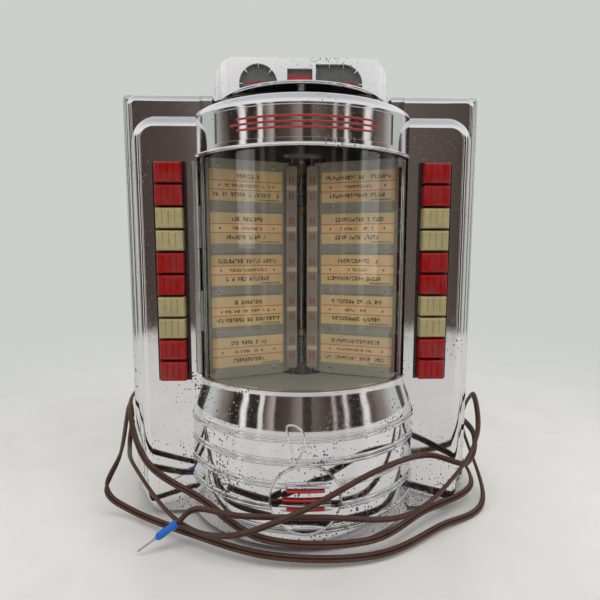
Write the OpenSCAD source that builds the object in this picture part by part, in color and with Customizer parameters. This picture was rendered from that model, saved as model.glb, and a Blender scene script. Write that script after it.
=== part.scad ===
// Jukebox wall box selector: a chromed case with a barrel front, a curved window door, two banks of
// ten keys, and six title leaves on a rotor turned by the wheel under the crest.
// Frame: Z = 0 is the table, X = 0 the centre, the front faces -Y. Heights are above the table, and
// depths at the front are measured forward from the rotor's axis.

/* [Case] */
// Width of the outer case
case_w = 300; // [294:1:330]
// Height of the case's top face
case_top = 354; // [353:0.5:360]
// Distance of the case's front edge in front of the rotor axis
case_front = 23; // [20:0.5:27]
// Distance of the back face behind the rotor axis
axis_to_back = 98; // [98:0.5:120]
// Radius of the case's corners seen from the front
case_r = 9; // [7:0.5:14]
// Radius of the case's front edges
case_edge_r = 6; // [3:0.5:7]
// Wall thickness of the castings and the case
wall = 2.2; // [1.8:0.1:2.6]
// Width of the flange inside the back of the case
flange_w = 10; // [7:0.5:12]
// Thickness of the back plate
plate_t = 2; // [1.5:0.1:3]
// Height of the rubber feet
foot_h = 5; // [3:0.5:6]
// Radius of the rubber feet
foot_r = 8; // [6:0.5:12]

/* [Wall mount] */
// Distance between the wall bolts across
bolt_dx = 180; // [150:1:184]
// Distance between the wall bolts up and down
bolt_dz = 250; // [200:1:260]
// Radius of the wall bolt holes
bolt_r = 2.75; // [2:0.05:4]

/* [Front casting] */
// Half the opening between the wings, as a share of the rim's radius
wing_share = 0.85; // [0.848:0.001:0.856]
// Distance of the wings' faces in front of the rotor axis, as a share of the rim's radius
face_share = 0.5204; // [0.518:0.0002:0.524]
// Width of the case's face that shows beside the steps
case_margin = 7; // [5:0.5:9]
// Height of the wings' tops
wing_top = 330; // [329:0.5:334]
// Radius of the wings' rolled front edges
wing_roll = 10; // [7:0.5:11]
// Radius of the wings' upper outer corners
wing_corner_r = 20; // [15:0.5:22]
// Width of the steps outside the wings
step_w = 7; // [5:0.5:8]
// Distance of the step's face in front of the rotor axis
step_front = 35; // [32:0.5:40]
// Height of the step's top
step_top = 350; // [348:0.5:352]
// Radius of the steps' rolled front edges
step_roll = 6; // [4:0.5:8]
// Radius of the steps' upper outer corners
step_corner_r = 9; // [8.5:0.5:14]

/* [Barrel] */
// Radius over the barrel's ribs
barrel_r = 106; // [104:0.5:108]
// Height that the ribs stand proud
rib_h = 1.2; // [0.6:0.1:1.6]
// Radius of the barrel's rim
rim_r = 98; // [97.5:0.1:98.5]
// Height of the barrel's rim
rim_z = 122; // [120:0.5:124]
// Height of the flare from rim to full radius
flare_h = 32; // [24:0.5:36]
// Distance between the rib pairs
rib_pitch = 17.5; // [16:0.1:18]
// Number of rib pairs
rib_count = 5; // [3:1:5]
// Height of the lowest rib pair
rib_z = 19; // [16:0.5:20]
// Radius of the medallion on the barrel
medal_r = 27; // [20:0.5:32]
// Height of the medallion's centre
medal_z = 43; // [40:0.5:48]

/* [Window door] */
// Height of the crown's lower edge
crown_z = 297; // [295:0.5:300]
// Height of the crown's top
crown_top = 334; // [332:0.5:336]
// Radius of the crown's top edge
crown_edge_r = 8; // [5:0.5:9]
// Depth of the sunk panel in the crown
panel_d = 1; // [0.5:0.1:1.4]
// Half the angle of the sunk panel in the crown
panel_a = 42; // [30:1:46]
// Thickness of the window
glass_t = 2.2; // [1.5:0.1:2.4]
// Outer radius of the hinge barrel
hinge_r = 2.5; // [2.2:0.05:2.6]
// Radius of the hinge pin
hinge_pin_r = 1; // [0.8:0.05:1.2]
// Number of hinge knuckles
knuckles = 5; // [3:2:7]

/* [Keys] */
// Number of keys in a bank
key_count = 10; // [6:1:10]
// Distance from key to key
key_pitch = 17.5; // [17:0.1:17.6]
// Distance of the keys' centres from the wings' inner sides
key_inset = 21.7; // [20:0.1:24]
// Width of a key's face
key_w = 20.8; // [18:0.1:21.4]
// Height of a key's face
key_h = 15.8; // [14:0.1:16]
// Height that the keys stand out of the wings
key_out = 7.5; // [6:0.1:9]
// Travel of a key
key_travel = 3.5; // [2:0.1:3.8]
// Height of the lowest key's centre
key_z = 127.5; // [126:0.5:130]
// Depth of the grooves in the keys' faces
groove_d = 0.6; // [0.3:0.1:1]
// Plain height under the grooves
groove_foot = 2.6; // [1:0.2:6]

/* [Rotor] */
// Radius of the page wheel
wheel_r = 72; // [66:0.5:73]
// Thickness of the page wheel
wheel_t = 2.8; // [2:0.1:3]
// Distance of the page wheel's top face below the case's top
wheel_drop = 5; // [4.8:0.1:5.5]
// Radius of the rotor shaft
shaft_r = 4; // [3:0.1:5]
// Radius of the circle of leaf pins
pin_circle_r = 17; // [15:0.5:17.5]
// Radius of the leaf pins
leaf_pin_r = 1; // [0.8:0.05:1.2]
// Radius of the carriers that hold the leaf pins
carrier_r = 22; // [20.5:0.5:24]
// Thickness of the carriers
carrier_t = 3; // [2:0.5:4]
// Distance that the leaves keep from the rim's radius
leaf_clear = 7; // [7:0.5:12]
// Thickness of a leaf's frame
leaf_t = 1.6; // [1.2:0.1:2]
// Height of a leaf's lower edge
leaf_z = 117; // [116.5:0.5:120]
// Height of a leaf
leaf_h = 182; // [176:1:183]
// Angle of the front leaves from straight ahead
leaf_open = 70; // [66:1:72]
// Angle between leaves on one side
leaf_fan = 50; // [46:1:50]
// Number of title strips on a side of a leaf
strip_count = 5; // [3:1:5]
// Distance from strip to strip
strip_pitch = 35; // [33:0.5:35]
// Distance of the title strips from a leaf's pin
strip_inset = 9.5; // [8:0.5:14]
// Height of a title strip
strip_h = 25.4; // [22:0.2:26]

/* [Crest] */
// Half the width of the crest's base
crest_half = 77.5; // [77:0.5:80]
// Height of the crest above the case
crest_h = 34; // [33:0.5:40]
// Distance of the crest's face in front of the rotor axis
crest_front = 10; // [8:0.5:14]
// Radius of the crest's shoulders
crest_r = 19; // [14:0.5:24]
// Radius of the crest's front corners seen from above
crest_turn_r = 17; // [8:0.5:17.5]
// Radius of the round dial window
dial_r = 16.3; // [12:0.1:16.5]
// Distance of the round dial window from the middle
dial_x = 37.3; // [34:0.1:40]
// Height of the dial windows' centres above the case
dial_h = 12.6; // [12.5:0.1:15]

/* [Cord] */
// Width of the flat twin cord
cord_w = 5.4; // [4.5:0.1:5.6]
// Radius of the hole for the cord
gland_r = 6; // [5:0.25:8]

/* [Hidden] */
$fn = 72;
fit = 0.05;
gap = 0.4;
axis_y = (barrel_r - axis_to_back) / 2;
wing_front = face_share * rim_r;
back_y = axis_y + axis_to_back;
plate_y = back_y - plate_t;
case_y = axis_y - case_front;
wing_y = axis_y - wing_front;
step_y = axis_y - step_front;
case_half = case_w / 2;
wing_in = wing_share * rim_r;
step_out = case_half - case_margin;
wing_out = step_out - step_w;
wing_low_r = 16;
roll_steps = 5;
deck_z = wing_top - wall - 0.3;
floor_z = foot_h + wall;
barrel_skin_r = barrel_r - rib_h;

// The window door's parts, all concentric with the rotor
crown_r = rim_r;
glass_r = crown_r - wall - 0.1;
glass_in = glass_r - glass_t;
glass_z = rim_z + gap;
glass_top = crown_z + 9;
seal_t = 0.5;
door_a = asin((wing_in - 1) / rim_r);
door_y = wing_y - 0.3;
hinge_x = -(wing_in + 1.2);
hinge_y = wing_y - hinge_r - 1;
hinge_z0 = rim_z + 4;
hinge_z1 = crown_z - 3.5;
knuckle_h = (hinge_z1 - hinge_z0) / knuckles;

// The wings' insides
key_x = wing_in + key_inset;
slot_w = key_w + 6;
slot_z0 = key_z - key_pitch / 2;
slot_z1 = slot_z0 + key_count * key_pitch;
key_gap = 0.3;
cap_back = 6;
guide_y = wing_y + cap_back + key_travel + 0.5;
guide_t = 8;
stem_w = 12;
stem_h = 8;
stem_end = guide_y + guide_t + 8;

// The rotor, from the bottom up
ledge_z = leaf_z - 3.5;
ledge_t = 1.5;
carrier_z = ledge_z - carrier_t - 3.5;
wheel_z = case_top - wheel_drop;
leaf_l = rim_r - pin_circle_r - leaf_clear;
strip_w = leaf_l - strip_inset - 2.5;
sweep_r = rim_r - leaf_clear + 0.6;
bracket_t = 4;
bracket_z = carrier_z - bracket_t - 1.5;
top_carrier_z = leaf_z + leaf_h + 4;
shaft_z0 = bracket_z - 6;
well_top = case_top - wall;
well_z = wheel_z - wheel_t - 8.5;
well_t = 2;
well_r = wheel_r + 4;
hub_r = 12;
knuckle_r = 2.3;
knuckle_l = 8;
stop_r = 2;
strip_t = 0.35;
rail_t = 0.5;
rail_h = strip_pitch - strip_h - 2 * fit;
PIN_ANGLES = [30, 90, 150, -150, -90, -30];
LEAF_ANGLES = [
    leaf_open, leaf_open + leaf_fan, leaf_open + 2 * leaf_fan,
    -leaf_open - 2 * leaf_fan, -leaf_open - leaf_fan, -leaf_open
];

// The crest and what the coins pass through
crest_y = axis_y - crest_front;
crest_top = case_top + crest_h;
dial_z = case_top + dial_h;
crest_back = back_y - 6;
crest_t = 2.5;
apron_z = wheel_z + 1;
apron_half = crest_half - crest_turn_r;
flag_w = 21.6;
flag_h = 21;
flag_x = -12.4;
chute_y = crest_back - crest_t - 9.5;
chute_d = 9;
chute_t = 1;
chute_x = case_half - 52;
chute_w = 32;
chute_z = well_z - 18;
reject_z = 190;
slot_d = [22, 19, 25];
slot_pitch = 29;

// The back's screws, its bolt holes and the hole for the cord, as X and Z
screw_r = 1.5;
screw_head_r = 3;
middle_z = (foot_h + case_top) / 2;
SCREWS = [
    for (x = [-1, 1], z = [foot_h + 50, middle_z, case_top - 50]) [x * (case_half - 7), z],
    [-50, foot_h + 7], [50, foot_h + 7]
];
BOLTS = [for (x = [-1, 1], z = [-1, 1]) [x * bolt_dx / 2, middle_z + z * bolt_dz / 2]];

// The cord: from the gland in the back, four passes across the front, to the crimped end
CORD = [
    [-122, 108, 30], [-128, 123, 38], [-160, 100, 66], [-156, -6, 90], [-130, -55, 54],
    [-80, -77, 31], [-30, -111, 20], [44, -108, 15], [98, -69, 14], [152, -30, 15],
    [160, 34, 24], [160, 32, 54], [155, -24, 60], [140, -50, 45], [100, -66, 60],
    [54, -101, 66], [-6, -117, 43], [-58, -110, 22], [-100, -84, 20], [-142, -46, 44],
    [-163, 4, 40], [-165, 20, 60], [-162, 4, 80], [-157, -34, 52], [-166, -46, 24],
    [-144, -53, 9], [-90, -85, 9], [-24, -114, 9], [50, -111, 6], [108, -77, 5],
    [160, -38, 6], [167, 34, 46], [161, -4, 90], [148, -48, 70], [120, -73, 45],
    [74, -100, 29], [10, -110, 35], [-46, -105, 34], [-82, -90, 31], [-96, -93, 22],
];
GLAND = [CORD[0].x, CORD[0].z];
ring_count = 78;
cord_sides = 8;
cord_r = cord_w / 2;
plug_r = 3.2;
plug_l = 18;
prong_r = 0.8;
prong_l = 16;

// ---------------------------------------------------------------- outlines and helpers

// Extrudes an outline drawn in X and Z from y0 back to y1
module along_y(y0, y1) {
    translate([0, y1, 0]) rotate([90, 0, 0]) linear_extrude(y1 - y0) children();
}

// Extrudes an outline drawn in Y and Z from x0 to x1
module along_x(x0, x1) {
    translate([x0, 0, 0]) rotate([90, 0, 90]) linear_extrude(x1 - x0) children();
}

// Rectangle between two corners
module rect(x0, x1, y0, y1) {
    translate([x0, y0]) square([x1 - x0, y1 - y0]);
}

// Rectangle with its upper right and lower right corners rounded
module right_rounded(x0, x1, y0, y1, r_top, r_low) {
    union() {
        rect(x0, x1 - max(r_top, r_low), y0, y1);
        rect(x0, x1, y0 + r_low, y1 - r_top);
        rect(x0, x1 - r_top, y1 - r_top - 0.01, y1);
        rect(x0, x1 - r_low, y0, y0 + r_low + 0.01);
        translate([x1 - r_top, y1 - r_top]) circle(r_top);
        translate([x1 - r_low, y0 + r_low]) circle(r_low);
    }
}

// Rectangle with all its corners rounded
module rounded(x0, x1, y0, y1, r) {
    union() {
        rect(x0 + r, x1 - r, y0, y1);
        rect(x0, x1, y0 + r, y1 - r);
        for (x = [x0 + r, x1 - r], y = [y0 + r, y1 - r]) translate([x, y]) circle(r);
    }
}

// Rectangle with its upper left corner rounded, for a front top edge seen from the side
module left_rounded(x0, x1, y0, y1, r) {
    union() {
        rect(x0 + r, x1, y0, y1);
        rect(x0, x1, y0, y1 - r);
        translate([x0 + r, y1 - r]) circle(r);
    }
}

// Plan with its front outer corner rounded
module front_plan(x0, x1, y0, y1, r) {
    union() {
        rect(x0, x1 - r, y0, y1);
        rect(x0, x1, y0 + r, y1);
        translate([x1 - r, y0 + r]) circle(r);
    }
}

// Everything nearer the front than y
module in_front_of(y, reach = 160) {
    intersection() {
        children();
        translate([-reach, y - 2 * reach, -1]) cube([2 * reach, 2 * reach, case_top + 100]);
    }
}

// Ring sector about the rotor axis, centred on straight ahead or on angle a
module sector(r0, r1, z0, z1, half_a, a = 0) {
    translate([0, axis_y, z0]) rotate([0, 0, -90 + a - half_a])
        rotate_extrude(angle = 2 * half_a, $fn = 180) rect(r0, r1, 0, z1 - z0);
}

// Profile of a bead that stands h proud of a turned wall at X = 0
module bead(h) {
    polygon([
        [-0.5, -h], [0, -h], [0.8 * h, -0.6 * h], [h, 0], [0.8 * h, 0.6 * h], [0, h], [-0.5, h]
    ]);
}

// Points of an arc, from angle a0 to a1
function arc(cx, cy, r, a0, a1, n = 8) =
    [for (i = [0:n]) [cx + r * cos(a0 + (a1 - a0) * i / n), cy + r * sin(a0 + (a1 - a0) * i / n)]];

// ---------------------------------------------------------------- case and back

// The case's outer form, shrunk by a wall inside
module case_form(inset, y1) {
    half = case_half - inset;
    y0 = case_y + inset;
    z0 = foot_h + inset;
    z1 = case_top - inset;
    edge = max(case_edge_r - inset, 0.5);
    intersection() {
        along_y(y0, y1) rounded(-half, half, z0, z1, case_r - inset);
        along_x(-case_w, case_w) left_rounded(y0, y1, z0, z1, edge);
        translate([0, 0, -1]) linear_extrude(case_top + 10) union() {
            front_plan(0, half, y0, y1, edge);
            mirror([1, 0]) front_plan(0, half, y0, y1, edge);
        }
    }
}

module case() {
    lip = flange_w + wall;
    color("gainsboro") difference() {
        case_form(0, back_y);
        intersection() {
            case_form(wall, back_y);
            translate([-case_w, -200, 0]) cube([2 * case_w, 200 + plate_y - wall, 500]);
        }
        // the opening behind the front casting, and the one that the back plate fills
        along_y(case_y - 1, case_y + wall + 1)
            rect(-step_out + lip, step_out - lip, foot_h + lip, step_top - lip);
        along_y(plate_y - wall - 1, plate_y + 1)
            rect(-case_half + lip, case_half - lip, foot_h + lip, case_top - lip);
        along_y(plate_y, back_y + 1) plate_outline();
        // room for the page wheel, the crest and the coin chute in the top
        translate([-crest_half + crest_t, case_y - 1, step_top - 6])
            cube([2 * (crest_half - crest_t), crest_back - crest_t + 1 - case_y, 40]);
        for (p = SCREWS)
            translate([p.x, plate_y + 0.1, p.y]) rotate([90, 0, 0]) cylinder(r = screw_r, h = wall + 0.2);
    }
}

module plate_outline() {
    rounded(-case_half + wall, case_half - wall, floor_z, case_top - wall, case_r - wall);
}

module back_plate() {
    color("silver") difference() {
        along_y(plate_y, back_y) plate_outline();
        for (p = BOLTS) plate_hole(p, bolt_r);
        for (p = SCREWS) plate_hole(p, screw_head_r);
        plate_hole(GLAND, gland_r);
    }
}

// A round hole through the back plate at p, given as X and Z
module plate_hole(p, r) {
    translate([p.x, back_y + 1, p.y]) rotate([90, 0, 0]) cylinder(r = r, h = plate_t + 2);
}

module back_screws() {
    color("dimgray") for (p = SCREWS) translate([p.x, back_y, p.y]) rotate([90, 0, 0]) difference() {
        union() {
            cylinder(r = screw_head_r, h = plate_t);
            cylinder(r = screw_r, h = plate_t + wall + 3);
        }
        translate([-2.2, -0.4, -1]) cube([4.4, 0.8, 1.8]);
    }
}

module feet() {
    color("black") for (x = [-1, 1], y = [case_y + 14, back_y - 16])
        translate([x * (case_half - 30), y, 0]) cylinder(r = foot_r, h = foot_h);
}

// ---------------------------------------------------------------- front casting and barrel

// One wing or step: slices of its outline that shrink towards the front, to roll its edge
module tower(x1, y0, z1, roll, corner, inset, y1) {
    r = roll - inset;
    hull() for (a = [0:roll_steps]) {
        e = inset + r * (1 - cos(90 * a / roll_steps));
        y = y0 + inset + r * (1 - sin(90 * a / roll_steps));
        along_y(y, a == 0 ? y1 : y + 0.01) right_rounded(
            wing_in + inset, x1 - e, foot_h + inset, z1 - e, corner - e, wing_low_r - e, $fn = 48
        );
    }
}

module wing_side() {
    difference() {
        union() {
            tower(wing_out, wing_y, wing_top, wing_roll, wing_corner_r, 0, case_y);
            tower(step_out, step_y, step_top, step_roll, step_corner_r, 0, case_y);
        }
        tower(wing_out, wing_y, wing_top, wing_roll, wing_corner_r, wall, case_y + 1);
        tower(step_out, step_y, step_top, step_roll, step_corner_r, wall, case_y + 1);
        translate([key_x - slot_w / 2, wing_y - 1, slot_z0]) cube([slot_w, wall + 2, slot_z1 - slot_z0]);
    }
}

module front_casting() {
    color("gainsboro") difference() {
        union() {
            wing_side();
            mirror([1, 0, 0]) wing_side();
            // the deck behind the crown and the bar behind the barrel
            translate([-wing_in - 0.5, wing_y, deck_z]) cube([2 * wing_in + 1, case_y - wing_y, wall]);
            translate([-wing_in - 0.5, case_y - wall, foot_h]) cube([2 * wing_in + 1, wall, 20]);
        }
        // the gap in the inner walls that the leaves' edges turn through
        translate([0, axis_y, ledge_z + ledge_t]) cylinder(r = sweep_r, h = leaf_h + 4, $fn = 180);
    }
}

// Radius of the barrel's skin at height z
function barrel_at(z) =
    z < rim_z - flare_h ? barrel_skin_r
    : rim_r + (barrel_skin_r - rim_r) * (1 - cos(180 * (rim_z - z) / flare_h)) / 2;

module barrel_front() {
    heights = [foot_h, for (i = [0:12]) rim_z - flare_h + flare_h * i / 12];
    skin = [for (z = heights) [barrel_at(z), z]];
    inner = [for (i = [len(heights) - 1:-1:0]) [barrel_at(heights[i]) - wall, heights[i]]];
    lip_z = ledge_z;
    color("gainsboro") in_front_of(wing_y) translate([0, axis_y, 0]) union() {
        rotate_extrude($fn = 180) union() {
            polygon(concat(skin, inner));
            for (i = [0:rib_count - 1], d = [-1.6, 1.6])
                translate([barrel_skin_r, rib_z + i * rib_pitch + d]) bead(rib_h);
            rect(rim_r - wall - 7, barrel_at(lip_z) - 1, lip_z - wall, lip_z);
        }
        intersection() {
            rotate_extrude($fn = 180)
                rect(barrel_skin_r - 0.5, barrel_r + 0.15, medal_z - medal_r, medal_z + medal_r);
            translate([0, 0, medal_z]) rotate([90, 0, 0]) cylinder(r = medal_r, h = barrel_r + 10);
        }
    }
}

module window_ledge() {
    color("ivory") difference() {
        union() {
            in_front_of(wing_y + 1) translate([0, axis_y, ledge_z])
                cylinder(r = rim_r - wall - gap, h = ledge_t, $fn = 180);
            translate([-wing_in, wing_y, ledge_z])
                cube([2 * wing_in, plate_y - wall - gap - wing_y, ledge_t]);
        }
        translate([0, axis_y, ledge_z - 1]) cylinder(r = carrier_r + 2, h = ledge_t + 2);
    }
}

// ---------------------------------------------------------------- keys

module key_frame() {
    color("black") difference() {
        translate([key_x - slot_w / 2, wing_y + 0.6, slot_z0]) cube([slot_w, 3, slot_z1 - slot_z0]);
        for (i = [0:key_count - 1])
            translate([key_x - key_w / 2 - key_gap, wing_y, key_z + i * key_pitch - key_h / 2 - key_gap])
                cube([key_w + 2 * key_gap, 5, key_h + 2 * key_gap]);
    }
}

module key_frames() {
    key_frame();
    mirror([1, 0, 0]) key_frame();
}

module key_guide() {
    x0 = wing_in + wall;
    x1 = wing_out - wing_roll - 2;
    color("dimgray") difference() {
        translate([x0, guide_y, slot_z0 - 6]) cube([x1 - x0, guide_t, slot_z1 - slot_z0 + 12]);
        for (i = [0:key_count - 1]) {
            z = key_z + i * key_pitch - stem_h / 2 - key_gap;
            translate([key_x - stem_w / 2 - key_gap, guide_y - 1, z])
                cube([stem_w + 2 * key_gap, guide_t + 2, stem_h + 2 * key_gap]);
        }
    }
}

module key_guides() {
    key_guide();
    mirror([1, 0, 0]) key_guide();
}

// A key: a cap with three upright grooves and chamfered edges, on a stem
module key(side, i) {
    w = key_w / 2;
    c = 1;
    g = 0.5;
    d = groove_d;
    z = key_z + (key_count - i) * key_pitch;
    front = wing_y - key_out;
    cap_l = key_out + cap_back;
    plan = [[-w, c], [-w + c, 0], [w - c, 0], [w, c], [w, cap_l], [-w, cap_l]];
    groove = [[-g, -0.05], [g, -0.05], [g / 2, d], [-g / 2, d]];
    red = i % 4 == 1 || i % 4 == 2;
    color(red ? "crimson" : "ivory") translate([side * key_x, front, z]) union() {
        difference() {
            intersection() {
                translate([0, 0, -key_h / 2]) linear_extrude(key_h) polygon(plan);
                along_x(-w, w) polygon([
                    [c, -key_h / 2], [cap_l, -key_h / 2], [cap_l, key_h / 2],
                    [c * 1.6, key_h / 2], [0, key_h / 2 - c * 1.6], [0, -key_h / 2 + c]
                ]);
            }
            for (x = [-5, 0, 5])
                translate([x, 0, groove_foot - key_h / 2]) linear_extrude(key_h) polygon(groove);
        }
        translate([-stem_w / 2, cap_l, -stem_h / 2]) cube([stem_w, stem_end - front - cap_l, stem_h]);
    }
}

// ---------------------------------------------------------------- window door

module crown() {
    r = crown_edge_r;
    outer = concat([[crown_r, crown_z]], arc(crown_r - r, crown_top - r, r, 0, 90), [[0, crown_top]]);
    ri = r - wall;
    inner = concat(
        [[0, crown_top - wall]], arc(crown_r - r, crown_top - r, ri, 90, 0), [[crown_r - wall, crown_z]]
    );
    color("gainsboro") difference() {
        in_front_of(door_y) translate([0, axis_y, 0]) rotate_extrude($fn = 180) union() {
            polygon(concat(outer, inner));
            translate([crown_r, crown_z + 1.3]) bead(1);
        }
        sector(crown_r - panel_d, crown_r + 2, crown_z + 5.5, crown_top - 9.5, panel_a);
    }
}

module window() {
    color("lightcyan", 0.35) sector(glass_in, glass_r, glass_z, glass_top, door_a);
}

// The channel round the window's upright edges and top
module window_frame() {
    a = 1.8;
    color("silver") difference() {
        union() {
            for (side = [-1, 1])
                sector(
                    glass_in - seal_t, glass_r + seal_t, glass_z, crown_z - 1,
                    a / 2, side * (door_a - a / 2 + 0.4)
                );
            sector(glass_in - seal_t, glass_r + 0.05, crown_z + 2, glass_top + 1, door_a - 1);
        }
        sector(glass_in, glass_r, glass_z - 1, glass_top, door_a);
    }
}

// Knuckles from the first one given, every other one, round the pin
module hinge_barrel(first) {
    for (i = [first:2:knuckles - 1])
        translate([hinge_x, hinge_y, hinge_z0 + i * knuckle_h + 0.15]) difference() {
            children();
            translate([0, 0, -1]) cylinder(r = hinge_pin_r + fit, h = knuckle_h + 2);
        }
}

module hinge_fixed_leaf() {
    h = knuckle_h - 0.3;
    color("silver") hinge_barrel(0) union() {
        cylinder(r = hinge_r, h = h);
        translate([-2.4, 0, 0]) cube([1.2, wing_y - hinge_y, h]);
    }
}

module hinge_door_leaf() {
    h = knuckle_h - 0.3;
    color("silver") difference() {
        hinge_barrel(1) union() {
            cylinder(r = hinge_r, h = h);
            rotate([0, 0, 30]) translate([0, 0.2, 0]) cube([6.5, 1.2, h]);
        }
        translate([0, axis_y, 0]) cylinder(r = glass_r + seal_t + 0.02, h = case_top, $fn = 180);
    }
}

module hinge_pin() {
    color("dimgray") translate([hinge_x, hinge_y, hinge_z0 - 1])
        cylinder(r = hinge_pin_r, h = hinge_z1 - hinge_z0 + 2);
}

module door_catch() {
    color("dimgray") translate([58, wing_y + 0.6, deck_z - 6]) difference() {
        cube([10, 9, 6]);
        translate([2, -1, -1]) cube([6, 4, 5]);
    }
}

// ---------------------------------------------------------------- rotor

// Places its children at leaf pin i, turned to look along direction a from straight ahead
module at_pin(i, a) {
    translate([
        pin_circle_r * sin(PIN_ANGLES[i]), axis_y - pin_circle_r * cos(PIN_ANGLES[i]), 0
    ]) rotate([0, 0, -90 + a]) children();
}

module page_wheel() {
    t = wheel_t;
    color("gainsboro") translate([0, axis_y, wheel_z - t]) difference() {
        union() {
            rotate_extrude($fn = 180) union() {
                rect(0, wheel_r - t / 2, 0, t);
                translate([wheel_r - t / 2, t / 2]) circle(t / 2, $fn = 24);
            }
            translate([0, 0, -4.5]) cylinder(r = hub_r, h = 5);
        }
        translate([0, 0, -6]) cylinder(r = shaft_r, h = t + 10);
    }
}

module rotor_shaft() {
    color("silver") translate([0, axis_y, shaft_z0]) cylinder(r = shaft_r, h = wheel_z - shaft_z0);
}

// The two plates that hold the leaf pins; the lower one has the six stops in its rim
module leaf_carriers() {
    color("silver") translate([0, axis_y, 0]) difference() {
        union() {
            translate([0, 0, top_carrier_z]) cylinder(r = carrier_r, h = carrier_t);
            translate([0, 0, carrier_z]) cylinder(r = carrier_r, h = carrier_t);
        }
        translate([0, 0, carrier_z - 1]) cylinder(r = shaft_r, h = top_carrier_z + 10);
        for (a = [0:60:300]) {
            rotate([0, 0, a]) translate([carrier_r, 0, carrier_z - 1])
                cylinder(r = stop_r, h = carrier_t + 2);
            rotate([0, 0, a + 30]) translate([0, pin_circle_r, carrier_z - 1])
                cylinder(r = leaf_pin_r, h = top_carrier_z + 10);
        }
    }
}

module leaf_pins() {
    color("dimgray") for (i = [0:5]) at_pin(i, 0) translate([0, 0, carrier_z])
        cylinder(r = leaf_pin_r, h = top_carrier_z + carrier_t - carrier_z);
}

// A title leaf: a plate with two knuckles and rails, and loose paper strips between the rails
module leaf(i) {
    z1 = leaf_z + leaf_h;
    edge = knuckle_r - 0.6;
    strip_x = strip_inset;
    first = leaf_z + (leaf_h - (strip_count - 1) * strip_pitch) / 2;
    at_pin(i, LEAF_ANGLES[i]) {
        color("darkgray") difference() {
            union() {
                translate([edge + 1, -leaf_t / 2, leaf_z]) cube([leaf_l - edge - 1, leaf_t, leaf_h]);
                for (z = [leaf_z + 2, z1 - 2 - knuckle_l]) {
                    translate([0, 0, z]) cylinder(r = knuckle_r, h = knuckle_l);
                    translate([0, -leaf_t / 2, z]) cube([edge + 2, leaf_t, knuckle_l]);
                }
                for (k = [-1:strip_count - 1], s = [-1, 1]) {
                    z = first + (k + 0.5) * strip_pitch - rail_h / 2;
                    translate([strip_x, s > 0 ? leaf_t / 2 : -leaf_t / 2 - rail_t, z])
                        cube([strip_w, rail_t, min(rail_h, z1 - z)]);
                }
            }
            translate([0, 0, leaf_z]) cylinder(r = leaf_pin_r + fit, h = leaf_h);
        }
        color("wheat") for (k = [0:strip_count - 1], s = [-1, 1]) {
            y = s > 0 ? leaf_t / 2 + fit : -leaf_t / 2 - strip_t - fit;
            translate([strip_x, y, first + k * strip_pitch - strip_h / 2])
                cube([strip_w, strip_t, strip_h]);
        }
    }
}

// ---------------------------------------------------------------- what carries the rotor

module rotor_bracket() {
    z = bracket_z;
    color("silver") difference() {
        union() {
            translate([-14, axis_y, z]) cube([28, plate_y - axis_y, bracket_t]);
            translate([0, axis_y, z]) cylinder(r = 14, h = bracket_t);
            translate([-30, plate_y - 2, z - 20]) cube([60, 2, 20 + bracket_t]);
        }
        translate([0, axis_y, z - 1]) cylinder(r = 7, h = bracket_t + 2);
    }
    color("peru") translate([0, axis_y, z]) difference() {
        cylinder(r = 7, h = bracket_t + 1);
        translate([0, 0, -1]) cylinder(r = shaft_r + fit, h = bracket_t + 3);
    }
}

// Spring arm whose roller drops into the stops of the lower carrier
module detent_arm() {
    x = carrier_r + 2.3;
    z = bracket_z + bracket_t;
    color("dimgray") translate([0, axis_y, 0]) union() {
        translate([x + 2.6, -4, carrier_z]) cube([0.8, 44, carrier_t]);
        translate([x + 2.7, 0, carrier_z]) cylinder(r = 2.6, h = carrier_t);
        translate([9, 34, z]) cube([x - 5.6, 8, carrier_z + carrier_t - z]);
    }
}

module wheel_well() {
    y0 = case_y + case_edge_r + 0.4;
    y1 = axis_y + well_r + 1;
    w = crest_half - crest_t + 0.5;
    color("dimgray") difference() {
        union() {
            translate([-w - well_t, y0, well_z]) cube([2 * (w + well_t), y1 + well_t - y0, well_t]);
            for (x = [-w - well_t, w])
                translate([x, y0, well_z]) cube([well_t, y1 + well_t - y0, well_top - well_z]);
            translate([-w - well_t, y1, well_z]) cube([2 * (w + well_t), well_t, well_top - well_z]);
            translate([0, axis_y, well_z - 6]) cylinder(r = 11, h = 7);
        }
        translate([0, axis_y, well_z - 7]) cylinder(r = 7, h = 12);
    }
    color("peru") translate([0, axis_y, well_z - 6]) difference() {
        cylinder(r = 7, h = 6 + well_t);
        translate([0, 0, -1]) cylinder(r = shaft_r + fit, h = 12);
    }
}

module lamps() {
    x = 104;
    y = axis_y + 2;
    r = 6;
    z0 = rim_z + 6;
    z1 = crown_z - 12;
    for (side = [-1, 1]) {
        color("white") translate([side * x, y, z0 + 10]) cylinder(r = r, h = z1 - z0 - 20);
        color("black") for (z = [z0, z1 - 10]) translate([side * x, y, z]) cylinder(r = r + 1.5, h = 10);
        color("silver") for (z = [z0 - wall, z1])
            translate([side > 0 ? x - 8 : -case_half + wall, y - 8, z])
                cube([case_half - wall - x + 8, 16, wall]);
    }
}

// ---------------------------------------------------------------- crest and coin path

module crest_outline(a) {
    base = crest_half - a;
    r = crest_r - a;
    cx = crest_half - 2 - crest_r;
    half = concat([[base, case_top]], arc(cx, crest_top - crest_r, r, 0, 90));
    polygon(concat(half, [for (i = [len(half) - 1:-1:0]) [-half[i].x, half[i].y]]));
}

// The crest's outer form, shrunk by a
module crest_form(a) {
    half = crest_half - a;
    intersection() {
        along_y(crest_y + a, crest_back - a) crest_outline(a);
        translate([0, 0, case_top - 1]) linear_extrude(crest_h + 2) union() {
            front_plan(0, half, crest_y + a, crest_back - a, crest_turn_r - a);
            mirror([1, 0]) front_plan(0, half, crest_y + a, crest_back - a, crest_turn_r - a);
        }
    }
}

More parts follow.
